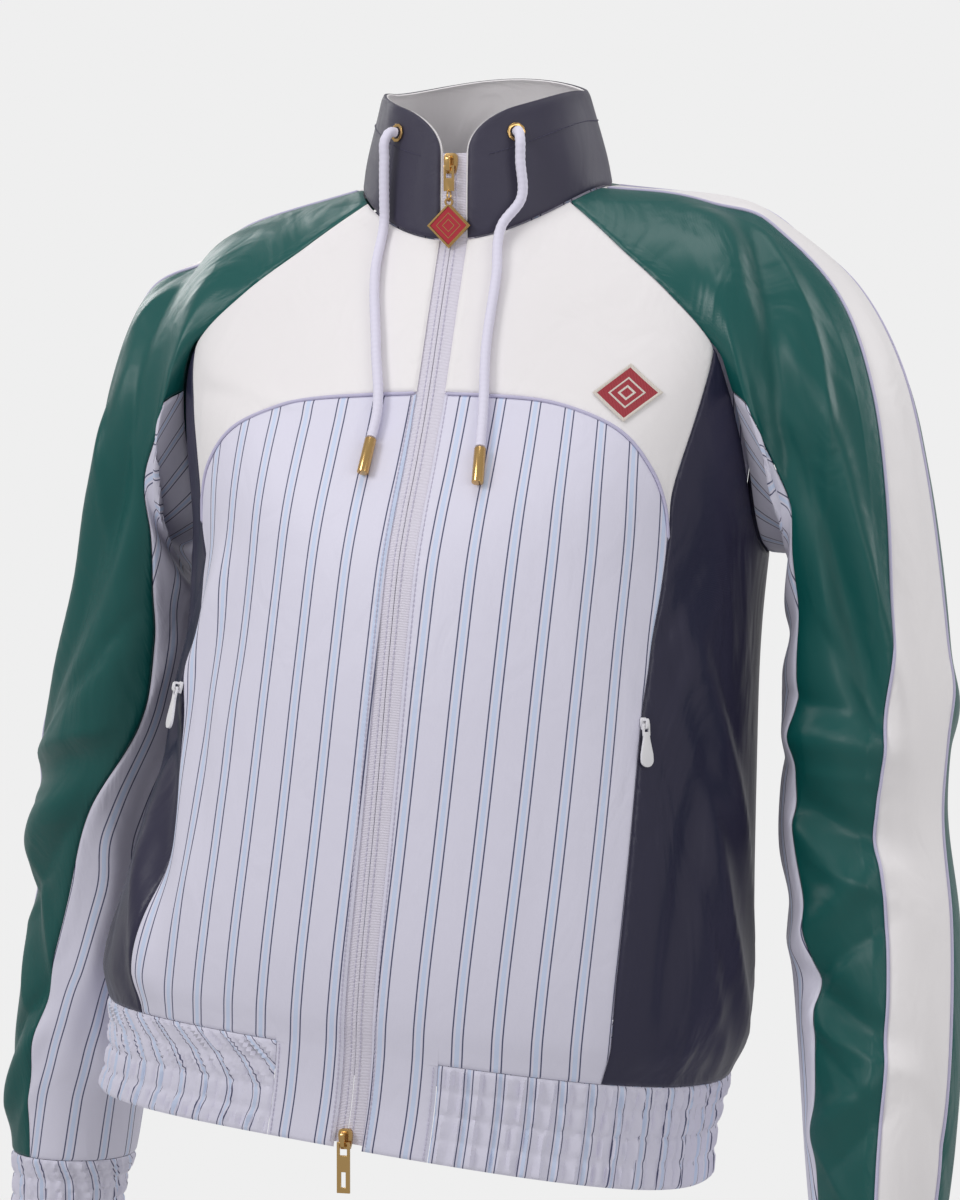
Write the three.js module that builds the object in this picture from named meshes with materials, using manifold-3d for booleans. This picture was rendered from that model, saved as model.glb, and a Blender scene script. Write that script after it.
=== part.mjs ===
// Zip-front track jacket with raglan sleeves, filled out as it is worn, with nobody in it.
// Millimetres, +Z up, the front faces -Y and the wearer's left is +X.
// The origin is the middle of the neck seam, where the wearer's neck and shoulders hold the jacket.
import * as THREE from 'three';
import { mergeVertices } from 'three/addons/utils/BufferGeometryUtils.js';
import Module from 'manifold-3d';

const wasm = await Module();
wasm.setup();

// Rows of numbers under named columns
function table(columns, ...rows) {
  return rows.map((row) => Object.fromEntries(columns.map((name, k) => [name, row[k]])));
}

// Driving dimensions
const CLOTH = 1.6; // thickness of every cloth wall
const SEAM = 0.2; // each panel stops this far short of its seam line
const ON_TOP = 0.35; // clear distance of a piece that lies on cloth
const BAND_TOP = 500; // where the waistband is sewn on, as a drop below the neck seam
const HEM = 556;
const FLAT_FRONT = 50; // the fronts run on to the hem this far to each side of the zip
const TAPE = { right: 7, left: 10 }; // zip tape that shows on each side of the teeth
const ZIP_TOP = 0.68; // share of the collar's height that the zip reaches
const CUFF_TOP = 620; // reach down the sleeve at which the cuff is sewn on
const CUFF_END = 675;

// Colours of the materials
const COLOURS = {
  white: 0xefeaec, stripe: 0xd9d9ee, green: 0x0f5552, navy: 0x2c2b3e, piping: 0xc9c6de,
  tape: 0xe9e6f2, gold: 0xb08a45, red: 0xb01c28, cord: 0xe6e2f2, pull: 0xf2f2f4,
};

// The body: one row for each level ring, neck to hem. Drop names the ring; left and right are its half
// widths; frontY, backY and middleY place its front, back and sides; the Z columns are its heights
// there; square is the exponent of its outline, 2 for an ellipse.
const BODY = table(
  ['drop', 'left', 'right', 'frontY', 'middleY', 'backY', 'frontZ', 'sideZ', 'backZ', 'square'],
  [0, 76, 76, -70, 0, 68, -31, 2, 12, 2],
  [45, 116, 118, -90, 6, 86, -74, -12, -24, 2.05],
  [90, 154, 161, -111, 12, 100, -120, -36, -66, 2.1],
  [135, 178, 188, -132, 15, 108, -161, -76, -112, 2.15],
  [175, 178, 187, -149, 14, 111, -193, -140, -165, 2.2],
  [215, 172, 177, -160, 10, 111, -223, -214, -214, 2.2],
  [262, 172, 174, -167, 0, 107, -268, -262, -262, 2.2],
  [310, 176, 180, -170, -10, 102, -312, -310, -310, 2.2],
  [380, 183, 186, -170, -18, 102, -382, -382, -380, 2.25],
  [440, 190, 200, -167, -18, 106, -442, -446, -440, 2.25],
  [478, 192, 207, -160, -14, 108, -481, -487, -480, 2.25],
  [500, 186, 202, -152, -12, 104, -504, -511, -504, 2.2],
  [528, 182, 198, -145, -10, 102, -533, -541, -534, 2.2],
  [556, 184, 200, -142, -8, 102, -562, -571, -564, 2.2],
);

// The collar: rings from the neck seam (rise 0) to the collar's top edge (rise 1).
const COLLAR = table(
  ['rise', 'left', 'right', 'frontY', 'middleY', 'backY', 'frontZ', 'sideZ', 'backZ'],
  [0, 76, 76, -70, 0, 68, -31, 2, 12],
  [0.35, 71.5, 71.5, -70, -1, 63, -5, 23, 34],
  [0.7, 66, 66, -69, -2, 58, 21, 44, 57],
  [1, 62, 62, -68, -3, 54, 42, 59, 70],
);

// The stance: below the chest the body leans, and its hem drops towards the wearer's left.
const STANCE = { startZ: -120, endZ: -556, shift: -40, tilt: 6.6 };

// The yoke seam, as a drop at each angle from the centre front.
const YOKE_SEAM = table(
  ['angle', 'drop'],
  [0, 90], [12, 96], [24, 111], [36, 141], [46, 171], [52, 193], [53.8, 205],
);
const YOKE_END = { angle: 53.8, drop: 205 };

// The seam in front of the side panel, from the raglan seam down, and the one behind it.
const SIDE_SEAM = table(
  ['drop', 'front', 'back'],
  [135, 62, 119], [165, 56.3, 124], [187, 53, 127], [205, 53.8, 127], [262, 52.6, 127],
  [310, 50.6, 128], [380, 48.4, 129], [460, 46, 130], [500, 46.5, 130],
);

// The raglan loop round each arm: around is the angle round the sleeve, 0 on the shoulder, 90 in front.
const LOOP = table(
  ['around', 'angle', 'drop'],
  [0, 97, 0], [25, 80, 0], [42.17, 57, 0], [59.33, 55, 38], [76.5, 55.5, 72], [93.67, 58, 105],
  [110.83, 62, 135], [128, 67, 158], [154, 82, 202], [180, 96, 214], [206, 108, 202],
  [232, 117, 158], [249.17, 119, 135], [266.33, 121, 105], [283.5, 122.5, 72], [300.67, 124, 38],
  [317.83, 128, 0], [335, 114, 0], [360, 97, 0],
);
const NECK_CORNERS = [42.17, 317.83];
const LOWER_LOOP = LOOP.filter(({ around }) => around >= NECK_CORNERS[0] && around <= NECK_CORNERS[1]);

// The sleeves: one row for each ring past the raglan loop. Reach names the ring; x, y and z are its
// centre; tilt turns its outer axis up from level; outer and fore are its half axes; swing leads the
// cloth square off the raglan seam; the last four are the seam angles round it: the shoulder stripe's
// edges and the underarm panel's.
const LEFT_SLEEVE = table(
  ['reach', 'x', 'y', 'z', 'tilt', 'outer', 'fore', 'swing', 'stripeF', 'stripeB', 'underF', 'underB'],
  [45, 176, 25, -113, 104, 111, 91, 32, 25, -25, 125, 232],
  [85, 190, 26, -130, 92, 104, 84, 24, 27, -24, 125, 230],
  [125, 206, 26, -150, 81, 94, 78, 14, 31, -18, 125, 230],
  [170, 216, 25, -180, 67, 81, 75, 6, 37, -12, 125, 232],
  [215, 225, 24, -217, 54, 65, 72, 0, 42, -8, 127, 234],
  [265, 228, 22, -262, 31, 54, 69, 0, 50, -6, 126, 238],
  [325, 232, 18, -318, 18, 52, 66, 0, 59, -3, 131, 243],
  [385, 231, 12, -378, 10, 50, 63, 0, 63, 3, 128, 248],
  [450, 241, 2, -440, 8, 50, 60, 0, 65, 10, 122, 253],
  [515, 248, -12, -505, 6, 48, 56, 0, 70, 16, 128, 258],
  [575, 251, -24, -565, 4, 44, 50, 0, 76, 20, 134, 262],
  [620, 252, -32, -610, 2, 39, 43, 0, 78, 22, 136, 264],
  [636, 252, -35, -626, 2, 36, 39, 0, 78, 22, 136, 264],
  [675, 253, -42, -665, 2, 35, 37, 0, 78, 22, 136, 264],
);
const RIGHT_SLEEVE = table(
  ['reach', 'x', 'y', 'z', 'tilt', 'outer', 'fore', 'swing', 'stripeF', 'stripeB', 'underF', 'underB'],
  [45, 182, 25, -118, 104, 103, 91, 32, 24, -25, 123, 232],
  [85, 194, 27, -136, 92, 97, 84, 24, 22, -28, 119, 228],
  [125, 209, 28, -150, 81, 94, 78, 14, 18, -32, 118, 226],
  [170, 215, 28, -180, 67, 80, 75, 6, 15, -36, 118, 226],
  [215, 222, 28, -217, 54, 63, 72, 0, 13, -40, 119, 226],
  [265, 227, 28, -262, 31, 49, 69, 0, 12, -43, 122, 226],
  [325, 243, 30, -318, 18, 48, 66, 0, 12, -45, 124, 226],
  [385, 265, 46, -378, 12, 50, 62, 0, 11, -46, 102, 224],
  [450, 271, 60, -440, 8, 48, 59, 0, 10, -47, 82, 220],
  [515, 287, 68, -505, 6, 46, 55, 0, 9, -48, 74, 216],
  [575, 300, 72, -565, 4, 43, 49, 0, 8, -49, 70, 212],
  [620, 305, 75, -610, 2, 39, 43, 0, 8, -50, 68, 210],
  [636, 308, 76, -626, 2, 36, 39, 0, 8, -50, 68, 210],
  [675, 314, 79, -665, 2, 35, 37, 0, 8, -50, 68, 210],
);

// The largest folds on the body: angle and drop of the middle, half length, half width and depth in
// millimetres (negative for a trough), and slant of the fold away from upright, in degrees.
const BODY_FOLDS = table(
  ['angle', 'drop', 'length', 'width', 'depth', 'slant'],
  [-48, 266, 56, 13, 6, 22],
  [-62, 310, 56, 12, -7, 30],
  [-55, 372, 60, 16, -8, -28],
  [-50, 440, 60, 15, 6, -30],
  [-84, 400, 80, 14, -6, 12],
  [72, 300, 90, 13, 4, -34],
  [64, 390, 80, 11, -4, 12],
  [82, 425, 75, 10, 5, -30],
  [150, 420, 90, 14, 4, 20],
  [-150, 400, 80, 14, 4, -24],
);

// The same for the sleeves, with the angle round the sleeve and the reach down it.
const LEFT_FOLDS = table(
  ['around', 'reach', 'length', 'width', 'depth', 'slant'],
  [62, 70, 70, 13, -5, -50],
  [70, 200, 120, 8, 6, 8],
  [88, 215, 110, 9, -7, 12],
  [96, 330, 52, 13, 7, 70],
  [88, 380, 46, 11, -7, 62],
  [104, 430, 48, 12, 6, -58],
  [96, 490, 48, 11, -6, 58],
  [106, 545, 40, 11, 5, -60],
  [210, 400, 60, 14, -6, 70],
  [300, 350, 70, 14, 5, 60],
);
const RIGHT_FOLDS = table(
  ['around', 'reach', 'length', 'width', 'depth', 'slant'],
  [50, 90, 60, 13, -4, -50],
  [42, 250, 110, 10, 6, 16],
  [60, 260, 100, 10, -6, 20],
  [52, 372, 52, 12, -7, 70],
  [50, 410, 50, 14, 6, 50],
  [46, 480, 60, 12, -5, -35],
  [56, 560, 50, 11, 5, 40],
  [110, 470, 90, 12, 4, 8],
  [210, 400, 60, 14, -6, 70],
  [290, 350, 70, 14, 5, 60],
);

const { lerp, clamp, degToRad } = THREE.MathUtils;

// A smooth curve through a table: every column of the rows, at one value of the key column.
function sampleTable(rows, key, at) {
  let i = 0;
  while (i < rows.length - 2 && at > rows[i + 1][key]) i++;
  const a = rows[i];
  const b = rows[i + 1];
  const before = rows[Math.max(i - 1, 0)];
  const after = rows[Math.min(i + 2, rows.length - 1)];
  const span = b[key] - a[key];
  const t = (at - a[key]) / span;
  const out = {};
  for (const name of Object.keys(a)) {
    const startSlope = ((b[name] - before[name]) / (b[key] - before[key])) * span;
    const endSlope = ((after[name] - a[name]) / (after[key] - a[key])) * span;
    out[name] = hermite(a[name], b[name], startSlope, endSlope, t);
  }
  return out;
}

function hermite(a, b, startSlope, endSlope, t) {
  const t2 = t * t;
  const t3 = t2 * t;
  const ease = 3 * t2 - 2 * t3;
  return a * (1 - ease) + startSlope * (t3 - 2 * t2 + t) + b * ease + endSlope * (t3 - t2);
}

function ringPoint(row, angle) {
  const s = Math.sin(degToRad(angle));
  const c = Math.cos(degToRad(angle));
  const power = 2 / (row.square || 2);
  const reach = c > 0 ? row.frontY - row.middleY : row.backY - row.middleY;
  const rise = c > 0 ? row.frontZ - row.sideZ : row.backZ - row.sideZ;
  return new THREE.Vector3(
    (s > 0 ? row.left : -row.right) * Math.abs(s) ** power,
    row.middleY + reach * Math.abs(c) ** power,
    row.sideZ + rise * c * c,
  );
}

function stand(point) {
  const u = clamp((STANCE.startZ - point.z) / (STANCE.startZ - STANCE.endZ), 0, 1.1);
  const tilt = degToRad(STANCE.tilt) * u;
  return new THREE.Vector3(
    point.x * Math.cos(tilt) + STANCE.shift * u * u,
    point.y,
    point.z - point.x * Math.sin(tilt),
  );
}

// Height of the folds over the plain cloth, at one place of a sheet measured across and along.
function foldHeight(folds, across, along, middleOf) {
  let height = 0;
  for (const fold of folds) {
    const middle = middleOf(fold);
    const slant = degToRad(fold.slant);
    const dx = across - middle.across;
    const dy = along - middle.along;
    const off = dx * Math.cos(slant) + dy * Math.sin(slant);
    const run = dy * Math.cos(slant) - dx * Math.sin(slant);
    height += fold.depth * Math.exp(-((off / fold.width) ** 2) - (run / fold.length) ** 4);
  }
  return height;
}

// A point and the outward direction on a surface given by a function of two numbers.
function onSurface(plain, height, u, v, du, dv, outward) {
  const point = plain(u, v);
  const sideways = plain(u + du, v).sub(plain(u - du, v));
  const down = plain(u, v + dv).sub(plain(u, v - dv));
  const normal = sideways.cross(down).normalize();
  if (normal.dot(outward(point)) < 0) normal.negate();
  if (height) point.addScaledVector(normal, height);
  return { point, normal };
}

const BODY_MM_PER_DEGREE = 3;
const SLEEVE_MM_PER_DEGREE = 1;

const awayFromMiddle = (p) => new THREE.Vector3(p.x, p.y, 0);

function bodyPlain(angle, drop) {
  return stand(ringPoint(sampleTable(BODY, 'drop', drop), angle));
}

function bodySurface(angle, drop, height = 0) {
  const fold = foldHeight(BODY_FOLDS, angle * BODY_MM_PER_DEGREE, drop, (f) => ({
    across: f.angle * BODY_MM_PER_DEGREE, along: f.drop,
  }));
  const level = clamp((drop - 60) / 60, 0, 1) * clamp((BAND_TOP - drop) / 25, 0, 1);
  const calm = level * clamp(Math.abs(angle) / 20 - 0.6, 0, 1);
  return onSurface(bodyPlain, fold * calm + height, angle, drop, 0.5, 0.5, awayFromMiddle);
}

function collarPlain(angle, rise) {
  return ringPoint(sampleTable(COLLAR, 'rise', rise), angle);
}

function collarSurface(angle, rise, height = 0) {
  return onSurface(collarPlain, height, angle, rise, 0.5, 0.005, awayFromMiddle);
}

// The raglan loop as a place on the body. Along the neck it is straight, and smooth below it.
function loopPlace(around) {
  const turn = ((around % 360) + 360) % 360;
  if (turn <= NECK_CORNERS[0] || turn >= NECK_CORNERS[1]) {
    let i = 0;
    while (turn > LOOP[i + 1].around) i++;
    const t = (turn - LOOP[i].around) / (LOOP[i + 1].around - LOOP[i].around);
    return { angle: lerp(LOOP[i].angle, LOOP[i + 1].angle, t), drop: 0 };
  }
  return sampleTable(LOWER_LOOP, 'around', turn);
}

function sleeveRing(row, around) {
  const turn = degToRad(around - row.swing * Math.sin(degToRad(around)));
  const tilt = degToRad(row.tilt);
  const out = row.outer * Math.cos(turn);
  const forward = row.fore * Math.sin(turn);
  return new THREE.Vector3(row.x + out * Math.cos(tilt), row.y - forward, row.z + out * Math.sin(tilt));
}

// side is +1 for the wearer's left sleeve and -1 for the right one.
function sleevePlain(rows, side, around, reach) {
  const place = loopPlace(around);
  const start = bodyPlain(place.angle * side, place.drop);
  start.x *= side;
  const points = [{ reach: 0, p: start }, ...rows.map((row) => ({ reach: row.reach, row }))];
  let i = 0;
  while (i < points.length - 2 && reach > points[i + 1].reach) i++;
  const near = [Math.max(i - 1, 0), i, i + 1, Math.min(i + 2, points.length - 1)].map((k) => {
    const p = points[k].p || sleeveRing(points[k].row, around);
    return { reach: points[k].reach, x: p.x, y: p.y, z: p.z };
  });
  const from = i === 0 ? near.slice(1) : near;
  const c = sampleTable(i === 0 || i + 2 < points.length ? from : near.slice(0, 3), 'reach', reach);
  return new THREE.Vector3(c.x * side, c.y, c.z);
}

function sleeveSeams(rows, reach) {
  const first = { ...rows[0], reach: 0, stripeF: 25, stripeB: -25, underF: 128, underB: 232 };
  return sampleTable([first, ...rows], 'reach', reach);
}

function sleeveSurface(sleeve, around, reach, height = 0) {
  const { rows, side, folds } = sleeve;
  if (reach <= 0) {
    const place = loopPlace(around);
    return bodySurface(place.angle * side, place.drop, height);
  }
  const turn = ((around % 360) + 360) % 360;
  const fold = foldHeight(folds, turn * SLEEVE_MM_PER_DEGREE, reach, (f) => ({
    across: f.around * SLEEVE_MM_PER_DEGREE, along: f.reach,
  }));
  const calm = clamp(reach / 40, 0, 1) * clamp((CUFF_TOP - reach) / 30, 0, 1);
  const row = sampleTable(rows, 'reach', Math.max(reach, rows[0].reach));
  const middle = new THREE.Vector3(row.x * side, row.y, row.z);
  const outward = (p) => new THREE.Vector3().subVectors(p, middle);
  const plain = (u, v) => sleevePlain(rows, side, u, v);
  const made = onSurface(plain, fold * calm + height, around, reach, 0.5, 0.5, outward);
  const start = clamp(reach / 25, 0, 1);
  if (start < 1) {
    // Beside the raglan seam the wall leans as the body's does, but under the arm, where the sleeve
    // folds back over the body, it keeps its own direction and lies clear of it.
    const place = loopPlace(around);
    const bodyNormal = bodySurface(place.angle * side, place.drop).normal;
    const agree = clamp((made.normal.dot(bodyNormal) + 0.2) / 0.5, 0, 1);
    made.normal.lerp(bodyNormal, (1 - start) * agree).normalize();
    made.point.addScaledVector(bodyNormal, 0.4 * (1 - start) * (1 - agree));
  }
  return made;
}

// A cloth wall from a grid of outer points. surface(i, j) gives the outer point and its direction;
// keep says which cells of the grid are cloth; a closed tube wraps its columns.
function clothWall({ columns, rows, surface, keep = () => true, wraps = false, thickness = CLOTH }) {
  const across = wraps ? columns : columns + 1;
  const outer = [];
  const inner = [];
  for (let j = 0; j <= rows; j++) {
    for (let i = 0; i < across; i++) {
      const { point, normal } = surface(i, j);
      outer.push(point);
      inner.push(point.clone().addScaledVector(normal, -thickness));
    }
  }
  const id = (i, j) => (i % across) + j * across;
  const isCloth = (i, j) => {
    if (j < 0 || j >= rows) return false;
    if (wraps) return keep((i + columns) % columns, j);
    return i >= 0 && i < columns && keep(i, j);
  };
  const positions = [...outer, ...inner].flatMap((p) => [p.x, p.y, p.z]);
  const under = outer.length;
  const index = [];
  const face = (a, b, c, d) => {
    index.push(a, b, c, a, c, d);
  };
  for (let j = 0; j < rows; j++) {
    for (let i = 0; i < columns; i++) {
      if (!isCloth(i, j)) continue;
      const [a, b, c, d] = [id(i, j), id(i + 1, j), id(i + 1, j + 1), id(i, j + 1)];
      face(a, b, c, d);
      face(c + under, b + under, a + under, d + under); // split along the same diagonal as the outer face
      if (!isCloth(i, j - 1)) face(b, a, a + under, b + under);
      if (!isCloth(i, j + 1)) face(d, c, c + under, d + under);
      if (!isCloth(i - 1, j)) face(a, d, d + under, a + under);
      if (!isCloth(i + 1, j)) face(c, b, b + under, c + under);
    }
  }
  if (signedVolume(positions, index) < 0) {
    for (let f = 0; f < index.length; f += 3) [index[f + 1], index[f + 2]] = [index[f + 2], index[f + 1]];
  }
  const geometry = new THREE.BufferGeometry();
  geometry.setAttribute('position', new THREE.Float32BufferAttribute(positions, 3));
  geometry.setIndex(index);
  return geometry;
}

function signedVolume(positions, index) {
  const corner = (v) => new THREE.Vector3().fromArray(positions, 3 * v);
  let volume = 0;
  for (let f = 0; f < index.length; f += 3) {
    volume += corner(index[f]).dot(corner(index[f + 1]).cross(corner(index[f + 2]))) / 6;
  }
  return volume;
}

const jacket = new THREE.Group();

function add(name, geometry, colour, metalness = 0, roughness = 0.7) {
  geometry.computeVertexNormals();
  const material = new THREE.MeshStandardMaterial({ color: COLOURS[colour], metalness, roughness });
  const mesh = new THREE.Mesh(geometry, material);
  mesh.name = name;
  jacket.add(mesh);
  return mesh;
}

const SIDES = [{ name: 'left', side: 1, tape: TAPE.left }, { name: 'right', side: -1, tape: TAPE.right }];

// The angle at which a ring is a given distance from the centre plane, on the named side.
function ringAngle(row, x, name) {
  return (Math.asin((x / row[name]) ** ((row.square || 2) / 2)) * 180) / Math.PI;
}

function angleAt(x, drop, name) {
  return ringAngle(sampleTable(BODY, 'drop', drop), x, name);
}

// Samples that neighbouring panels share along their common seams
const FRONT_COLUMNS = 10;
const YOKE_UPPER = 8; // rows beside the raglan seam
const YOKE_LOWER = 4; // rows beside the side panel
const FRONT_ROWS = 10;
const BAND_ROWS = 2;
const BACK_COLUMNS = 12;
const raglanFront = Array.from({ length: YOKE_UPPER + 1 }, (_, k) => lerp(42.17, 110.83, k / YOKE_UPPER));
const sideDrop = (k) => lerp(135, YOKE_END.drop, k / YOKE_LOWER);
const frontDrop = (k) => lerp(YOKE_END.drop, BAND_TOP, k / FRONT_ROWS);
const sideAngle = (drop, which) => sampleTable(SIDE_SEAM, 'drop', drop)[which];

// Where the yoke seam's samples lie, from the zip to the side panel.
function yokeSeamAngle(share, { name, tape }) {
  return lerp(angleAt(tape + SEAM, 90, name), YOKE_END.angle - SEAM / 2, share);
}

// A place inside a panel from its four edges, each a function of its own share that gives an angle
// and a drop; down and across run from 0 to 1.
function patch(edges, across, down) {
  const out = {};
  for (const key of ['angle', 'drop']) {
    const [top, bottom] = [edges.top(across)[key], edges.bottom(across)[key]];
    const [near, far] = [edges.near(down)[key], edges.far(down)[key]];
    const corners = lerp(
      lerp(edges.top(0)[key], edges.top(1)[key], across),
      lerp(edges.bottom(0)[key], edges.bottom(1)[key], across),
      down,
    );
    out[key] = lerp(top, bottom, down) + lerp(near, far, across) - corners;
  }
  return out;
}

// The drop of the yoke seam at an angle, set off by the seam gap; away is -1 above it and 1 below it.
function yokeSeamDrop(angle, away) {
  const { drop } = sampleTable(YOKE_SEAM, 'angle', angle);
  const slope = (drop - sampleTable(YOKE_SEAM, 'angle', angle - 0.5).drop) / (0.5 * BODY_MM_PER_DEGREE);
  return drop + away * SEAM * 2.7 * Math.hypot(1, slope);
}

function yoke(half) {
  const { name, side, tape } = half;
  const rows = YOKE_UPPER + YOKE_LOWER;
  const edges = {
    top: (share) => {
      const neckCorner = loopPlace(raglanFront[0]).angle - SEAM / 2;
      return { angle: lerp(angleAt(tape + SEAM, 0, name), neckCorner, share), drop: SEAM };
    },
    bottom: (share) => {
      const angle = yokeSeamAngle(share, half);
      return { angle, drop: yokeSeamDrop(angle, -1) };
    },
    near: (share) => {
      const drop = lerp(SEAM, 90 - SEAM, share);
      return { angle: angleAt(tape + SEAM, drop, name), drop };
    },
    far: (share) => {
      const row = Math.round(share * rows);
      if (row <= YOKE_UPPER) {
        const { angle, drop } = loopPlace(raglanFront[row]);
        return { angle: angle - SEAM / 2, drop: row === 0 ? SEAM : drop };
      }
      const drop = sideDrop(row - YOKE_UPPER);
      return { angle: sideAngle(drop, 'front') - SEAM / 2, drop: drop - (row === rows ? SEAM : 0) };
    },
  };
  const surface = (i, j) => {
    const { angle, drop } = patch(edges, i / FRONT_COLUMNS, j / rows);
    return bodySurface(angle * side, drop);
  };
  add('yoke_' + name, clothWall({ columns: FRONT_COLUMNS, rows, surface }), 'white');
}

// Columns of a front from the zip to the side seam: the first few, beside the zip, run on to the hem.
const HEM_COLUMNS = 3;

function frontPanel(half) {
  const { name, side, tape } = half;
  const rows = FRONT_ROWS + BAND_ROWS;
  const surface = (i, j) => {
    const share = i / FRONT_COLUMNS;
    const seamAngle = yokeSeamAngle(share, half);
    const top = yokeSeamDrop(seamAngle, 1);
    if (j === 0) return bodySurface(seamAngle * side, top);
    const sideLevel = frontDrop(Math.min(j, FRONT_ROWS));
    const level = (sideLevel - YOKE_END.drop) / (BAND_TOP - YOKE_END.drop);
    let drop = lerp(top, BAND_TOP, level);
    if (j === FRONT_ROWS && i >= HEM_COLUMNS) drop -= SEAM;
    if (j > FRONT_ROWS) drop = lerp(BAND_TOP, HEM, (j - FRONT_ROWS) / BAND_ROWS);
    const near = angleAt(tape + SEAM, drop, name);
    const flat = angleAt(FLAT_FRONT, drop, name);
    const far = sideAngle(Math.min(drop, BAND_TOP), 'front') - SEAM / 2;
    const eased = clamp(level * 1.4, 0, 1);
    const even = lerp(near, far, share);
    const set = i <= HEM_COLUMNS
      ? lerp(near, flat, i / HEM_COLUMNS)
      : lerp(flat, far, (i - HEM_COLUMNS) / (FRONT_COLUMNS - HEM_COLUMNS));
    return bodySurface(lerp(even, set, eased) * side, drop);
  };
  const keep = (i, j) => j < FRONT_ROWS || i < HEM_COLUMNS;
  add('front_' + name, clothWall({ columns: FRONT_COLUMNS, rows, surface, keep }), 'stripe');
}

// Columns of the side panel follow the raglan loop under the arm.
const UNDER_COLUMNS = 6;
const underLoop = Array.from({ length: UNDER_COLUMNS + 1 }, (_, k) => lerp(128, 232, k / UNDER_COLUMNS));
const sideLoop = [110.83, ...underLoop, 249.17];

function sidePanel({ name, side }) {
  const columns = sideLoop.length - 1;
  const rows = YOKE_LOWER + FRONT_ROWS;
  const levels = [
    ...Array.from({ length: YOKE_LOWER }, (_, k) => sideDrop(k)),
    ...Array.from({ length: FRONT_ROWS + 1 }, (_, k) => frontDrop(k)),
  ];
  const start = loopPlace(sideLoop[0]);
  const end = loopPlace(sideLoop[columns]);
  const edges = {
    top: (share) => {
      const i = Math.round(share * columns);
      const { angle, drop } = loopPlace(sideLoop[i]);
      return { angle: angle + (i === 0 ? SEAM / 2 : i === columns ? -SEAM / 2 : 0), drop: drop + SEAM * 1.2 };
    },
    bottom: (share) => ({
      angle: lerp(sideAngle(BAND_TOP, 'front') + SEAM / 2, sideAngle(BAND_TOP, 'back') - SEAM / 2, share),
      drop: BAND_TOP - SEAM,
    }),
    near: (share) => sideEdge(share, 'front', start.angle, SEAM / 2),
    far: (share) => sideEdge(share, 'back', end.angle, -SEAM / 2),
  };
  function sideEdge(share, which, first, inset) {
    const j = Math.round(share * rows);
    if (j === 0) return { angle: first + inset, drop: levels[0] + SEAM * 1.2 };
    return { angle: sideAngle(levels[j], which) + inset, drop: levels[j] - (j === rows ? SEAM : 0) };
  }
  const shares = levels.map((level, j) => j / rows);
  const surface = (i, j) => {
    const { angle, drop } = patch(edges, i / columns, shares[j]);
    return bodySurface(angle * side, drop);
  };
  add('side_' + name, clothWall({ columns, rows, surface }), 'navy');
}

function backPanel() {
  const rows = YOKE_UPPER + YOKE_LOWER + FRONT_ROWS;
  const surface = (i, j) => {
    let edge;
    if (j <= YOKE_UPPER) edge = loopPlace(360 - raglanFront[j]);
    else {
      const below = j - YOKE_UPPER;
      const drop = below <= YOKE_LOWER ? sideDrop(below) : frontDrop(below - YOKE_LOWER);
      edge = { angle: sideAngle(drop, 'back'), drop };
    }
    const drop = edge.drop + (j === 0 ? SEAM : 0) - (j === rows ? SEAM : 0);
    const angle = lerp(edge.angle + SEAM / 2, 360 - edge.angle - SEAM / 2, i / BACK_COLUMNS);
    return bodySurface(angle > 180 ? angle - 360 : angle, drop);
  };
  add('back', clothWall({ columns: BACK_COLUMNS, rows, surface }), 'stripe');
}

// The four long pieces of a sleeve share their rings, so that their seams meet.
const SLEEVES = [
  { name: 'left', side: 1, rows: LEFT_SLEEVE, folds: LEFT_FOLDS },
  { name: 'right', side: -1, rows: RIGHT_SLEEVE, folds: RIGHT_FOLDS },
];
const REACHES = [
  0, 20, 42, 64, 86, 108, 132, 158, 186, 216, 248, 280, 312, 344, 376, 408, 440, 474, 508, 542, 580, CUFF_TOP,
];
const frontArc = [25, 33.6, ...raglanFront, 128];
const stripeArc = [-25, -12, 0, 12, 25];
const backArc = frontArc.map((around) => 360 - around).reverse();

// The sleeve pieces whose first and last columns are underarm seams
const UNDERARM_EDGES = { first: ['under', 'back'], last: ['front', 'under'] };

function sleevePiece(sleeve, name, colour, arc, edges) {
  const columns = arc.length - 1;
  const rows = REACHES.length - 1;
  const surface = (i, j) => {
    const share = (arc[i] - arc[0]) / (arc[columns] - arc[0]);
    let reach = REACHES[j];
    if (j === 0) {
      const start = sleevePlain(sleeve.rows, sleeve.side, arc[i], 0);
      const step = sleevePlain(sleeve.rows, sleeve.side, arc[i], 1).distanceTo(start);
      reach = SEAM / Math.max(step, 0.02);
    }
    if (j === rows) reach -= SEAM;
    const [from, to] = edges(sleeveSeams(sleeve.rows, REACHES[j]));
    // Under the arm the cloth turns sharply, so its two seams stand a little further apart there.
    const edge = i === 0 ? UNDERARM_EDGES.first : i === columns ? UNDERARM_EDGES.last : [];
    const arm = edge.includes(name);
    const gap = (i === 0 ? 1 : i === columns ? -1 : 0) * (REACHES[j] > 200 ? 0.4 : arm ? 0.9 : 0.45);
    return sleeveSurface(sleeve, lerp(from, to, share) + gap, reach);
  };
  add(`sleeve_${sleeve.name}_${name}`, clothWall({ columns, rows, surface }), colour);
}

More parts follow.
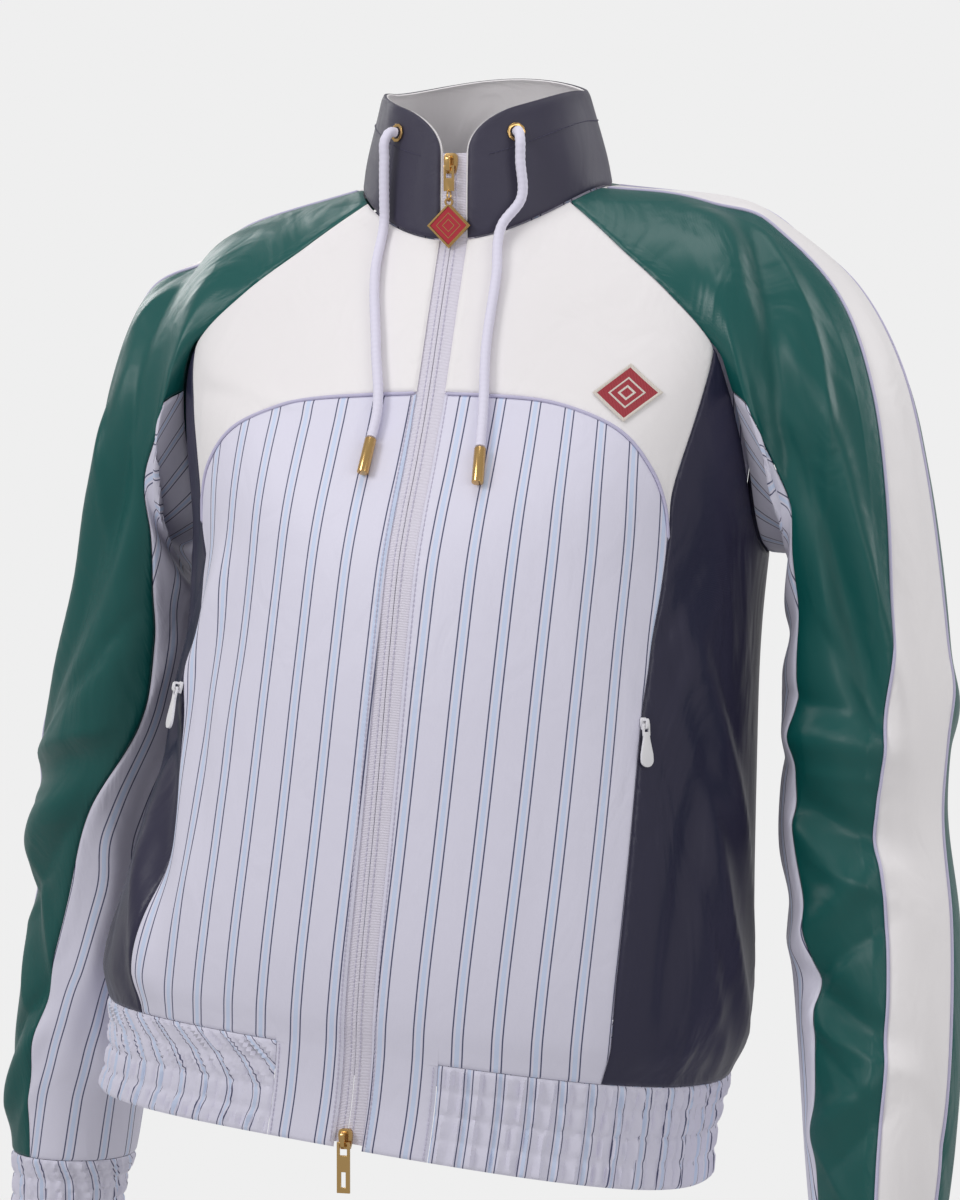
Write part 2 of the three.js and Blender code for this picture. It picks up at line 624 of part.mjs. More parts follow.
function sleevePieces(sleeve) {
  sleevePiece(sleeve, 'stripe', 'white', stripeArc, (row) => [row.stripeB, row.stripeF]);
  sleevePiece(sleeve, 'front', 'green', frontArc, (row) => [row.stripeF, row.underF]);
  sleevePiece(sleeve, 'under', 'stripe', underLoop, (row) => [row.underF, row.underB]);
  sleevePiece(sleeve, 'back', 'green', backArc, (row) => [row.underB, 360 + row.stripeB]);
  const columns = 24;
  const reaches = [CUFF_TOP + SEAM, CUFF_TOP + 16, CUFF_TOP + 34, CUFF_END];
  const surface = (i, j) => sleeveSurface(sleeve, (i * 360) / columns, reaches[j]);
  add('cuff_' + sleeve.name, clothWall({ columns, rows: 3, surface, wraps: true }), 'stripe');
}

// The collar's front corners are cut round, away from the zip.
function collarEdge(rise, tape) {
  const up = clamp((rise - ZIP_TOP) / (1 - ZIP_TOP), 0, 1);
  return tape + 28 * (1 - Math.sqrt(1 - up * up));
}

function collarLayer(name, colour, depth, thickness, top) {
  const columns = 28;
  const rises = [0.01, 0.2, 0.4, 0.6, 0.75, 0.87, 0.95, top];
  const surface = (i, j) => {
    const rise = rises[j];
    const row = sampleTable(COLLAR, 'rise', rise);
    const set = depth > 0 ? 6 - 5 * clamp((rise - ZIP_TOP) / (1 - ZIP_TOP), 0, 1) : SEAM;
    const turn = (name) => ringAngle(row, collarEdge(rise, TAPE[name]) + set, name);
    const angle = lerp(turn('left'), 360 - turn('right'), i / columns);
    return collarSurface(angle > 180 ? angle - 360 : angle, rise, -depth);
  };
  add(name, clothWall({ columns, rows: rises.length - 1, surface, thickness }), colour);
}

function waistband() {
  const gathers = 36;
  const columns = gathers * 2;
  const drops = [BAND_TOP + SEAM, BAND_TOP + 19, BAND_TOP + 38, HEM];
  const surface = (i, j) => {
    const near = angleAt(FLAT_FRONT, drops[j], 'left') + SEAM / 2;
    const far = angleAt(FLAT_FRONT, drops[j], 'right') + SEAM / 2;
    const angle = lerp(near, 360 - far, i / columns);
    const ripple = j === 0 || i === 0 || i === columns ? 0 : i % 2 ? 0.9 : -0.9;
    return bodySurface(angle > 180 ? angle - 360 : angle, drops[j], ripple);
  };
  add('waistband', clothWall({ columns, rows: drops.length - 1, surface }), 'stripe');
}

// The strip down the centre front, from the collar (negative: share of its height) to the hem.
function centreSurface(x, along, height) {
  const name = x > 0 ? 'left' : 'right';
  if (along < 0) {
    const angle = ringAngle(sampleTable(COLLAR, 'rise', -along), Math.abs(x), name);
    return collarSurface(angle * Math.sign(x), -along, height);
  }
  return bodySurface(angleAt(Math.abs(x), along, name) * Math.sign(x), along, height);
}

const TAPE_DEPTH = CLOTH + 0.6;
const TAPE_UNDER = 4; // how far the tape goes in under the front's edge

function zipTape({ name, side, tape }) {
  const alongs = [
    -ZIP_TOP, -0.45, -0.22, 0, 22, 45, 67, 90, 130, 170, 210, 250, 290, 330, 370, 410, 455, BAND_TOP, 528,
    HEM - 3,
  ];
  const surface = (i, j) => {
    const x = lerp(0.4, tape + TAPE_UNDER, i / 2) * side;
    return centreSurface(x, alongs[j], -TAPE_DEPTH);
  };
  add('zip_tape_' + name, clothWall({ columns: 2, rows: alongs.length - 1, surface, thickness: 1 }), 'tape');
}

// Hard pieces are made level, x across, y out from the cloth and z up, then stood at their place.
function addHard(name, geometry, place, colour, metalness = 0, roughness = 0.5) {
  const mesh = add(name, geometry, colour, metalness, roughness);
  mesh.position.copy(place.point);
  mesh.setRotationFromMatrix(new THREE.Matrix4().makeBasis(place.across, place.out, place.up));
}

// The same surface with its shared vertices merged and its faces pointing out
function closed(geometry) {
  const bare = geometry.clone();
  bare.deleteAttribute('normal');
  bare.deleteAttribute('uv');
  const merged = mergeVertices(bare, 1e-4);
  const index = Array.from(merged.index.array);
  if (signedVolume(merged.attributes.position.array, index) < 0) {
    for (let f = 0; f < index.length; f += 3) [index[f + 1], index[f + 2]] = [index[f + 2], index[f + 1]];
    merged.setIndex(index);
  }
  return merged;
}

function solidOf(geometry) {
  const { attributes, index } = closed(geometry);
  const vertProperties = new Float32Array(attributes.position.array);
  const triVerts = new Uint32Array(index.array);
  return new wasm.Manifold(new wasm.Mesh({ numProp: 3, vertProperties, triVerts }));
}

function geometryOf(solid) {
  const { vertProperties, triVerts } = solid.getMesh();
  const geometry = new THREE.BufferGeometry();
  geometry.setAttribute('position', new THREE.Float32BufferAttribute(vertProperties, 3));
  geometry.setIndex(Array.from(triVerts));
  return geometry;
}

// A flat plate with a given outline in x and z, its middle on y = 0
function plate(shape, thick) {
  const geometry = new THREE.ExtrudeGeometry(shape, { depth: thick, bevelEnabled: false, curveSegments: 5 });
  return geometry.translate(0, 0, -thick / 2).rotateX(Math.PI / 2);
}

function rectangle(width, height, x = 0, z = 0) {
  const [w, h] = [width / 2, height / 2];
  const corners = [[-w, -h], [w, -h], [w, h], [-w, h]];
  return new THREE.Shape(corners.map(([a, b]) => new THREE.Vector2(x + a, z + b)));
}

function circle(radius, x = 0, z = 0) {
  return new THREE.Shape().absarc(x, z, radius, 0, 2 * Math.PI, false);
}

function withHoles(shape, ...holes) {
  shape.holes.push(...holes);
  return shape;
}

// A place on the cloth, clear of it by the given distance: upright, or leaning as the cloth does.
function placeOn({ point, normal }, clear, upright = true) {
  const out = new THREE.Vector3(normal.x, normal.y, upright ? 0 : normal.z).normalize();
  const across = new THREE.Vector3(out.y, -out.x, 0).normalize();
  const up = new THREE.Vector3().crossVectors(across, out);
  return { point: point.clone().addScaledVector(out, clear), out, across, up };
}

function moved(place, x, y, z) {
  const point = place.point.clone().addScaledVector(place.across, x).addScaledVector(place.out, y);
  return { ...place, point: point.addScaledVector(place.up, z) };
}

const BAR = 1.3; // thickness of the bar that each pull hangs by
const PLAY = 0.4; // clear distance between that bar and the slider's arch
const ARCH_WALL = 1.4;

// A slider: a plate with round shoulders, and an arch over it that holds the bar of its pull.
function slider({ width, height, thick, arch }) {
  const [w, h] = [width / 2, height / 2];
  const outline = new THREE.Shape().moveTo(-w * 0.66, -h).lineTo(w * 0.66, -h);
  outline.quadraticCurveTo(w, -h * 0.3, w, h * 0.4).quadraticCurveTo(w, h, w * 0.4, h).lineTo(-w * 0.4, h);
  outline.quadraticCurveTo(-w, h, -w, h * 0.4).quadraticCurveTo(-w, -h * 0.3, -w * 0.66, -h);
  const [low, high, bend] = [thick - 0.2, thick + arch.reach, arch.height / 2];
  const bow = new THREE.Shape().moveTo(-bend, low).lineTo(bend, low).lineTo(bend, high - 2);
  bow.quadraticCurveTo(bend, high, bend - 2, high).lineTo(2 - bend, high);
  bow.quadraticCurveTo(-bend, high, -bend, high - 2);
  const inside = arch.reach - ARCH_WALL;
  bow.holes.push(rectangle(arch.height - 2 * ARCH_WALL, inside - 0.05, 0, thick + 0.05 + inside / 2));
  const side = new THREE.ExtrudeGeometry(bow, { depth: arch.width, bevelEnabled: false, curveSegments: 3 });
  side.translate(0, 0, -arch.width / 2).rotateY(Math.PI / 2);
  return geometryOf(solidOf(plate(outline, thick).translate(0, thick / 2, 0)).add(solidOf(side)));
}

// Where the bar of a pull hangs in the arch of its slider
function pinPlace(place, { thick, arch }) {
  const out = thick + arch.reach - ARCH_WALL - PLAY - BAR / 2;
  return moved(place, 0, out, ARCH_WALL + PLAY + BAR / 2 - arch.height / 2);
}

// The outline of a flat pull, which hangs by its top bar, and its window round the arch
function flatPull({ width, length, window, slot }) {
  const holes = [rectangle(window.width, window.height, 0, -BAR / 2 - window.height / 2)];
  if (slot) holes.push(rectangle(slot.width, slot.height, 0, slot.at));
  return withHoles(rectangle(width, length, 0, BAR / 2 - length / 2), ...holes);
}

const ZIP_SLIDER = { width: 8.4, height: 12, thick: 2.6, arch: { width: 2.4, height: 9, reach: 5 } };
const TOP_PULL = { width: 6.4, length: 15, window: { width: 3.6, height: 6 } };
const BOTTOM_PULL = {
  width: 8, length: 30, window: { width: 4.6, height: 6.5 }, slot: { width: 3, height: 9, at: -21.5 },
};
const RING = { radius: 3.2, wire: 0.65, z: -16.9 };
const CHARM = { half: 13.4, thick: 1.6, eye: 1.7, neck: 2.7 };
// The sliders run on the tapes, which lie a little way in from the fronts' outer face.
const topSlider = placeOn(centreSurface(0.0001, -0.6, 0), 0.5 - TAPE_DEPTH);
const bottomSlider = placeOn(centreSurface(0.0001, HEM - 6, 0), 1 - TAPE_DEPTH);
const linkPin = pinPlace(topSlider, ZIP_SLIDER);
const charmPin = moved(linkPin, 0, 0, RING.z - RING.radius);
const bottomPin = pinPlace(bottomSlider, ZIP_SLIDER);

function topHardware() {
  addHard('zip_slider_top', slider(ZIP_SLIDER), topSlider, 'gold', 1, 0.3);
  const ring = new THREE.TorusGeometry(RING.radius, RING.wire, 6, 12).rotateY(Math.PI / 2);
  ring.translate(0, 0, RING.z);
  const link = solidOf(plate(flatPull(TOP_PULL), BAR)).add(solidOf(ring));
  addHard('zip_link', geometryOf(link), linkPin, 'gold', 1, 0.3);
  const { half, thick, eye, neck } = CHARM;
  const hang = PLAY + RING.wire - eye; // the eye's middle, below the ring's lowest wire
  const middle = hang - half - 0.4;
  const corners = [[half, 0], [0, half], [-half, 0], [0, -half]];
  const diamond = new THREE.Shape(corners.map(([x, z]) => new THREE.Vector2(x, middle + z)));
  const body = solidOf(plate(diamond, thick)).add(solidOf(plate(circle(neck, 0, hang), thick)));
  const charm = body.subtract(solidOf(plate(circle(eye, 0, hang), thick + 2)));
  addHard('zip_charm', geometryOf(charm), charmPin, 'red', 0.2, 0.3);
}

function bottomHardware() {
  addHard('zip_slider_bottom', slider(ZIP_SLIDER), bottomSlider, 'gold', 1, 0.3);
  addHard('zip_pull_bottom', closed(plate(flatPull(BOTTOM_PULL), 1.4)), bottomPin, 'gold', 1, 0.3);
}

// The pocket zips hide in the side seams; only their small sliders and pulls stand out.
const POCKET_PULLS = [{ name: 'left', side: 1, drop: 303 }, { name: 'right', side: -1, drop: 303 }];
const POCKET_SLIDER = { width: 4, height: 7, thick: 1.4, arch: { width: 1.8, height: 6, reach: 4.4 } };
const POCKET_BAR = { width: 4.6, length: 7, window: { width: 2.6, height: 3.6 } };
function pocketPlace({ side, drop }) {
  return placeOn(bodySurface(sideAngle(drop, 'front') * side, drop), 0.5, false);
}

function pocketHardware(pocket) {
  const place = pocketPlace(pocket);
  addHard('pocket_slider_' + pocket.name, slider(POCKET_SLIDER), place, 'pull', 0, 0.4);
  // The tab is a drop, narrow at the bar and round at its end.
  const drop = new THREE.Shape().moveTo(-1.6, -4.6).lineTo(1.6, -4.6);
  drop.bezierCurveTo(2.2, -12, 4.2, -15, 4, -20).absarc(0, -20.5, 4, 0.12, Math.PI - 0.12, true);
  drop.bezierCurveTo(-4.2, -15, -2.2, -12, -1.6, -4.6);
  const pull = solidOf(plate(flatPull(POCKET_BAR), BAR)).add(solidOf(plate(drop, 1.6)));
  addHard('pocket_pull_' + pocket.name, geometryOf(pull), pinPlace(place, POCKET_SLIDER), 'pull', 0, 0.4);
}

// A round cord along a smooth path
function tube(points, radius, steps, sides = 8) {
  const curve = new THREE.CatmullRomCurve3(points, false, 'centripetal');
  const middle = new THREE.Vector2();
  const corner = (k) => new THREE.Vector2(radius, 0).rotateAround(middle, (2 * Math.PI * k) / sides);
  const section = new THREE.Shape(Array.from({ length: sides }, (_, k) => corner(k)));
  return closed(new THREE.ExtrudeGeometry(section, { steps, extrudePath: curve }));
}

const CORD = 6.4;
const AGLET = { width: 7, length: 22 };
const EYELET = { outer: 5.6, inner: 3.7, thick: 1, rise: 0.76 };
// The drawcord's two ends: the eyelet's place on the collar, and where the cord runs on the body.
const CORD_RUNS = [
  { name: 'left', side: 1, angle: 34, run: [[0, 24], [30, 18], [70, 13], [110, 11.8]], end: 131 },
  { name: 'right', side: -1, angle: 35, run: [[0, 33.5], [30, 24], [70, 13.3], [110, 8]], end: 124 },
];

function drawcord({ name, side, angle, run, end }) {
  const { rise } = EYELET;
  const place = placeOn(collarSurface(angle * side, rise), 0.35 + EYELET.thick / 2, false);
  const ring = plate(withHoles(circle(EYELET.outer), circle(EYELET.inner)), EYELET.thick);
  addHard('eyelet_' + name, closed(ring), place, 'gold', 1, 0.3);
  const stand = CORD / 2 + 1;
  const points = [[0.3, 0], [4.9, -0.2], [8.1, -4.6]].map(([out, up]) => moved(place, 0, out, up).point);
  points.push(collarSurface(angle * side * 0.97, rise - 0.24, stand + 4.5).point);
  points.push(collarSurface(angle * side * 0.94, 0.2, stand + 2.5).point);
  for (const [drop, turn] of run) {
    points.push(bodySurface(turn * side, drop, stand + (drop === 0 ? 2.5 : 0.4)).point);
  }
  const last = run.at(-1)[1];
  points.push(bodySurface(last * 0.97 * side, end, stand + 0.4).point);
  add('cord_' + name, tube(points, CORD / 2, 32), 'cord', 0, 0.8);
  const tip = points.at(-1);
  const lead = new THREE.Vector3().subVectors(tip, points.at(-2)).normalize();
  const { width, length } = AGLET;
  const sleeve = closed(new THREE.CylinderGeometry(width / 2, width / 2, length, 12));
  const aglet = add('aglet_' + name, sleeve, 'gold', 1, 0.3);
  aglet.position.copy(tip).addScaledVector(lead, 0.3 + length / 2);
  aglet.quaternion.setFromUnitVectors(new THREE.Vector3(0, 1, 0), lead);
}

// The place on the body's front with a given x and z.
function frontPlace(x, z) {
  const place = { angle: x / 2.6, drop: -z };
  for (let k = 0; k < 12; k++) {
    const here = bodyPlain(place.angle, place.drop);
    const turned = bodyPlain(place.angle + 0.2, place.drop).sub(here).divideScalar(0.2);
    const lowered = bodyPlain(place.angle, place.drop + 0.2).sub(here).divideScalar(0.2);
    const det = turned.x * lowered.z - turned.z * lowered.x;
    const [dx, dz] = [x - here.x, z - here.z];
    place.angle += (dx * lowered.z - dz * lowered.x) / det;
    place.drop += (turned.x * dz - turned.z * dx) / det;
  }
  return place;
}

// A diamond badge that lies on the wearer's left breast.
const BADGE = { x: 117, z: -121, halfWidth: 19, halfHeight: 16.8, thick: 1.2 };

function badge() {
  const steps = 5;
  const surface = (i, j) => {
    const a = i / steps - 0.5;
    const b = j / steps - 0.5;
    const [x, z] = [BADGE.x + (a + b) * BADGE.halfWidth, BADGE.z + (a - b) * BADGE.halfHeight];
    const { angle, drop } = frontPlace(x, z);
    return bodySurface(angle, drop, ON_TOP + BADGE.thick);
  };
  add('breast_badge', clothWall({ columns: steps, rows: steps, surface, thickness: BADGE.thick }), 'red');
}

SIDES.forEach(yoke);
SIDES.forEach(frontPanel);
SIDES.forEach(sidePanel);
backPanel();
SLEEVES.forEach(sleevePieces);
collarLayer('collar', 'navy', 0, CLOTH, 1);
collarLayer('collar_facing', 'white', CLOTH + 1.5, 1.2, 0.985);
waistband();
SIDES.forEach(zipTape);
topHardware();
bottomHardware();
POCKET_PULLS.forEach(pocketHardware);
CORD_RUNS.forEach(drawcord);
badge();

export default jacket;
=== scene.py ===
import math

import bpy
import numpy as np
from mathutils import Matrix, Vector


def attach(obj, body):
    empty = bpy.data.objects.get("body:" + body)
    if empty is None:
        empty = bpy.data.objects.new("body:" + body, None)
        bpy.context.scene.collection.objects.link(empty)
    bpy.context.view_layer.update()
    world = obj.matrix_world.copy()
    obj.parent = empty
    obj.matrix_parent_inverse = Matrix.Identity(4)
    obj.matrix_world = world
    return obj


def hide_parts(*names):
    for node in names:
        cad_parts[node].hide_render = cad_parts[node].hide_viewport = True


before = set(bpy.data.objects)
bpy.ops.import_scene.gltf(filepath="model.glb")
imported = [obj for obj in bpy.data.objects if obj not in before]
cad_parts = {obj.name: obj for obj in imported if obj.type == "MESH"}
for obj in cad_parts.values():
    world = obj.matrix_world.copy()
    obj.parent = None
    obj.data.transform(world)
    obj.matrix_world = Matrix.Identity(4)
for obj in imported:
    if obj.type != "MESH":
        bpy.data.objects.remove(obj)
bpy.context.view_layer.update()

# The camera stands three metres off, a little to the wearer's left and above, and is aimed so that the
# jacket's origin, the middle of its neck seam, falls on the same place of the picture as in the photograph.
AZIMUTH = math.radians(18.5)
ELEVATION = math.radians(3.0)
DISTANCE = 3.0
PICTURE_HEIGHT = 1200
PIXELS_PER_METRE = 1660  # at the origin
MIDDLE_FROM_ORIGIN = (-8, 410)  # picture's middle from the origin's place, in pixels right and down
SENSOR = 36.0

back = Vector((math.sin(AZIMUTH) * math.cos(ELEVATION), -math.cos(AZIMUTH) * math.cos(ELEVATION),
               math.sin(ELEVATION)))
right = Vector((math.cos(AZIMUTH), math.sin(AZIMUTH), 0))
up = back.cross(right)
aim = (right * MIDDLE_FROM_ORIGIN[0] - up * MIDDLE_FROM_ORIGIN[1]) / PIXELS_PER_METRE
bpy.ops.object.select_all(action="DESELECT")
bpy.ops.object.camera_add(location=aim + back * DISTANCE)
camera = bpy.context.object
camera.rotation_euler = Matrix((right, up, back)).transposed().to_euler()
camera.data.sensor_width = SENSOR
camera.data.lens = SENSOR * PIXELS_PER_METRE * DISTANCE / PICTURE_HEIGHT
camera.data.clip_end = 100
bpy.context.scene.camera = camera
bpy.context.scene.view_settings.view_transform = "Standard"

# A plain pale studio without a floor: an even bright backdrop on every side, which itself gives less light
# than it shows, a large soft key light from the wearer's right, a weaker fill, and one light behind each
# shoulder.
PALE = 0.863
AMBIENT = 0.5
LIT = Vector((0, 0, -0.25))  # the place that every light is turned to
LIGHTS = (
    {"name": "key", "place": (-1.7, -2.4, 1.5), "size": 1.3, "watts": 36},
    {"name": "fill", "place": (2.4, -2.2, 0.3), "size": 1.6, "watts": 15},
    {"name": "rim_left", "place": (1.9, 1.5, 0.9), "size": 1.0, "watts": 14},
    {"name": "rim_right", "place": (-1.9, 1.5, 0.9), "size": 1.0, "watts": 12},
    {"name": "top", "place": (0, -0.4, 2.2), "size": 1.2, "watts": 12},
)

world = bpy.data.worlds.new("studio")
world.use_nodes = True
surround = world.node_tree.nodes["Background"]
surround.inputs["Color"].default_value = (AMBIENT, AMBIENT, AMBIENT, 1)
backdrop = world.node_tree.nodes.new("ShaderNodeBackground")
backdrop.inputs["Color"].default_value = (PALE, PALE, PALE, 1)
seen = world.node_tree.nodes.new("ShaderNodeMixShader")
ray = world.node_tree.nodes.new("ShaderNodeLightPath")
world.node_tree.links.new(ray.outputs["Is Camera Ray"], seen.inputs[0])
world.node_tree.links.new(surround.outputs["Background"], seen.inputs[1])
world.node_tree.links.new(backdrop.outputs["Background"], seen.inputs[2])
world.node_tree.links.new(seen.outputs["Shader"], world.node_tree.nodes["World Output"].inputs["Surface"])
bpy.context.scene.world = world
for light in LIGHTS:
    bpy.ops.object.light_add(type="AREA", location=light["place"])
    lamp = bpy.context.object
    lamp.name = light["name"]
    lamp.data.shape = "DISK"
    lamp.data.size = light["size"]
    lamp.data.energy = light["watts"]
    lamp.rotation_euler = (Vector(light["place"]) - LIT).to_track_quat("Z", "Y").to_euler()

# The drawcord runs in a tunnel in the collar, and its two ends hang free from a hole on each side: a round
# braided cord of pale cotton with a gilt metal tip pressed on. Each path is the cord's own middle line, in
# millimetres, from the hole to the tip.
MM = 0.001
CORD_WIDTH = 6.2
CORD_PATHS = {
    "left": ((37.1, -58.4, 32.2), (39.6, -62.2, 32.5), (41.5, -65.3, 28.4), (41.9, -66, 16.1),
             (42.2, -65.4, -7.4), (32.1, -69.7, -22.3), (32.8, -83.1, -52.3), (33.1, -103, -94),
             (37.5, -121.8, -133.2), (39.1, -131.6, -152.4)),
    "right": ((-38, -57.7, 32.6), (-40.6, -61.5, 32.8), (-42.6, -64.5, 28.8), (-43, -65.3, 16.5),
              (-43.3, -64.7, -7), (-43.5, -63.8, -17.3), (-43.5, -79.8, -48.5), (-35, -102.9, -93.8),
              (-27.5, -123.3, -134.9), (-28.5, -129.8, -147.5)),
}
BRAID = {"strands": 6, "lay": 7.0, "relief": 0.2}


def unit(vector):
    return vector / np.maximum(np.linalg.norm(vector, axis=-1, keepdims=True), 1e-9)


def smooth_path(points, step):
    """Evenly spaced points on a smooth curve through the given ones."""
    points = np.array(points, float)
    at = np.concatenate([[0], np.cumsum(np.linalg.norm(np.diff(points, axis=0), axis=1))])
    slope = np.gradient(points, at, axis=0)
    wanted = np.linspace(0, at[-1], int(at[-1] / step) + 1)
    i = np.minimum(np.searchsorted(at[1:], wanted), len(at) - 2)
    span = (at[i + 1] - at[i])[:, None]
    t = ((wanted - at[i]) / (at[i + 1] - at[i]))[:, None]
    ease = 3 * t**2 - 2 * t**3
    bend = slope[i] * span * (t**3 - 2 * t**2 + t) + slope[i + 1] * span * (t**3 - t**2)
    return points[i] * (1 - ease) + points[i + 1] * ease + bend


def tube(name, path, radius, sides, lead, relief=0.0):
    """A closed round tube along a path; lead is a direction that is never along the path."""
    ahead = unit(np.gradient(path, axis=0))
    first = unit(np.cross(ahead, lead))
    second = np.cross(first, ahead)
    turn = np.linspace(0, 2 * np.pi, sides + 1)[None, :, None]
    around = first[:, None] * np.cos(turn) + second[:, None] * np.sin(turn)
    size = np.broadcast_to(np.asarray(radius, float), len(path)).copy()
    size[[0, -1]] = 0
    point = path[:, None] + around * (size[:, None] + relief * (size[:, None] > 0))[..., None]
    rows, columns = point.shape[:2]
    bpy.ops.object.select_all(action="DESELECT")
    bpy.ops.mesh.primitive_grid_add(x_subdivisions=columns - 1, y_subdivisions=rows - 1, size=2)
    piece = bpy.context.object
    piece.name = name
    piece.data.name = name
    flat = np.empty(len(piece.data.vertices) * 3)
    piece.data.vertices.foreach_get("co", flat)
    flat = flat.reshape(-1, 3)
    i = np.rint((flat[:, 0] + 1) / 2 * (columns - 1)).astype(int)
    j = np.rint((1 - flat[:, 1]) / 2 * (rows - 1)).astype(int)
    piece.data.vertices.foreach_set("co", (point[j, i] * MM).ravel())
    piece.data.update()
    bpy.ops.object.mode_set(mode="EDIT")
    bpy.ops.mesh.select_all(action="SELECT")
    bpy.ops.mesh.remove_doubles(threshold=0.000005)
    bpy.ops.mesh.normals_make_consistent(inside=False)
    bpy.ops.object.mode_set(mode="OBJECT")
    bpy.ops.object.shade_smooth_by_angle(angle=math.radians(50))
    return piece


def shader(name, roughness, colour=(1, 1, 1), **sockets):
    """A new material, its node tree and its surface shader."""
    material = bpy.data.materials.new(name)
    material.use_nodes = True
    tree = material.node_tree
    surface = tree.nodes["Principled BSDF"]
    surface.inputs["Base Color"].default_value = (*colour, 1)
    surface.inputs["Roughness"].default_value = roughness
    for socket, value in sockets.items():
        surface.inputs[socket.replace("_", " ")].default_value = value
    return material, tree, surface


def from_node(node, name, body, material, bevel=0.25):
    """A CAD node's own shape with its edges rounded, in place of the node."""
    bpy.ops.object.select_all(action="DESELECT")
    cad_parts[node].select_set(True)
    bpy.context.view_layer.objects.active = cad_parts[node]
    bpy.ops.object.duplicate()
    piece = bpy.context.object
    piece.name = name
    bpy.ops.object.mode_set(mode="EDIT")
    bpy.ops.mesh.select_all(action="SELECT")
    bpy.ops.mesh.remove_doubles(threshold=0.00002)
    bpy.ops.mesh.dissolve_limited(angle_limit=math.radians(3))
    bpy.ops.object.mode_set(mode="OBJECT")
    edges = piece.modifiers.new("edges", "BEVEL")
    edges.width = bevel * MM
    edges.segments = 3
    edges.limit_method = "ANGLE"
    edges.angle_limit = math.radians(40)
    bpy.ops.object.modifier_apply(modifier=edges.name)
    bpy.ops.object.shade_smooth_by_angle(angle=math.radians(40))
    piece.data.materials.clear()
    piece.data.materials.append(material)
    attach(piece, body)
    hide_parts(node)
    return piece


cord_cotton = shader("cord_cotton", 0.8, (0.76, 0.73, 0.87), Sheen_Weight=0.3)[0]
gilt = shader("gilt", 0.22, (0.62, 0.40, 0.16), Metallic=1.0)[0]

for name, points in CORD_PATHS.items():
    path = smooth_path(points, 0.9)
    turn = np.linspace(0, 2 * np.pi, 25)[None, :]
    lay = 2 * np.pi * np.arange(len(path))[:, None] * 0.9 / BRAID["lay"]
    crossing = np.cos(BRAID["strands"] * turn + lay) * np.cos(BRAID["strands"] * turn - lay)
    cord = tube("drawcord_" + name, path, CORD_WIDTH / 2 - BRAID["relief"], 24, np.array([1.0, 0.3, 0.1]),
                BRAID["relief"] * crossing)
    cord.data.materials.append(cord_cotton)
    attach(cord, "jacket")
    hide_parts("cord_" + name)
    tip = from_node("aglet_" + name, "tip_" + name, "jacket", gilt)
    from_node("eyelet_" + name, "ring_" + name, "jacket", gilt, 0.3)

# The two fronts are cut from a crisp, slightly shiny striped cloth. Each hangs from the yoke seam, is
# turned in beside the zip and topstitched there, and runs on to the hem beside the zip while the rest is
# sewn to the waistband. Sizes from here on are in millimetres until a mesh is made.
CLOTH = 0.9  # the cloth with its lining, as it looks at an edge
SEAM = 0.2
BAND_TOP = 500
HEM = 556
FLAT_FRONT = 50
FLAT_SHARE = 0.3
TAPE = {"right": 7, "left": 10}
GROOVE = {"depth": 1.1, "width": 1.2}  # how a panel turns in at its seams
SIDES = ({"name": "left", "side": 1}, {"name": "right", "side": -1})


def table(columns, *rows):
    """Named columns of numbers, a row for each ring, seam sample or fold."""
    return dict(zip(columns.split(), np.array(rows, float).T))


# One row for each level ring of the body, neck to hem, as in the part's source
BODY = table(
    "drop left right frontY middleY backY frontZ sideZ backZ square",
    (0, 76, 76, -70, 0, 68, -31, 2, 12, 2), (45, 116, 118, -90, 6, 86, -74, -12, -24, 2.05),
    (90, 154, 161, -111, 12, 100, -120, -36, -66, 2.1),
    (135, 178, 188, -132, 15, 108, -161, -76, -112, 2.15),
    (175, 178, 187, -149, 14, 111, -193, -140, -165, 2.2),
    (215, 172, 177, -160, 10, 111, -223, -214, -214, 2.2),
    (262, 172, 174, -167, 0, 107, -268, -262, -262, 2.2),
    (310, 176, 180, -170, -10, 102, -312, -310, -310, 2.2),
    (380, 183, 186, -170, -18, 102, -382, -382, -380, 2.25),
    (440, 190, 200, -167, -18, 106, -442, -446, -440, 2.25),
    (478, 192, 207, -160, -14, 108, -481, -487, -480, 2.25),
    (500, 186, 202, -152, -12, 104, -504, -511, -504, 2.2),
    (528, 182, 198, -145, -10, 102, -533, -541, -534, 2.2),
    (556, 184, 200, -142, -8, 102, -562, -571, -564, 2.2),
)
STANCE = {"start": -120, "end": -556, "shift": -40, "tilt": 6.6}
YOKE_SEAM = table(
    "angle drop",
    (0, 90), (12, 96), (24, 111), (36, 141), (46, 171), (52, 193), (53.8, 205),
)
YOKE_END = {"angle": 53.8, "drop": 205}
SIDE_SEAM = table(
    "drop front back",
    (135, 62, 119), (165, 56.3, 124), (187, 53, 127), (205, 53.8, 127), (262, 52.6, 127),
    (310, 50.6, 128), (380, 48.4, 129), (460, 46, 130), (500, 46.5, 130),
)
# The large folds: place of the middle, half length, half width, depth and slant from upright
BODY_FOLDS = table(
    "across along length width depth slant",
    (-48, 266, 56, 13, 6, 22), (-62, 310, 56, 12, -7, 30), (-55, 372, 60, 16, -8, -28),
    (-50, 440, 60, 15, 6, -30), (-84, 400, 80, 14, -6, 12), (72, 300, 90, 13, 4, -34),
    (64, 390, 80, 11, -4, 12), (82, 425, 75, 10, 5, -30), (150, 420, 90, 14, 4, 20),
    (-150, 400, 80, 14, 4, -24),
)
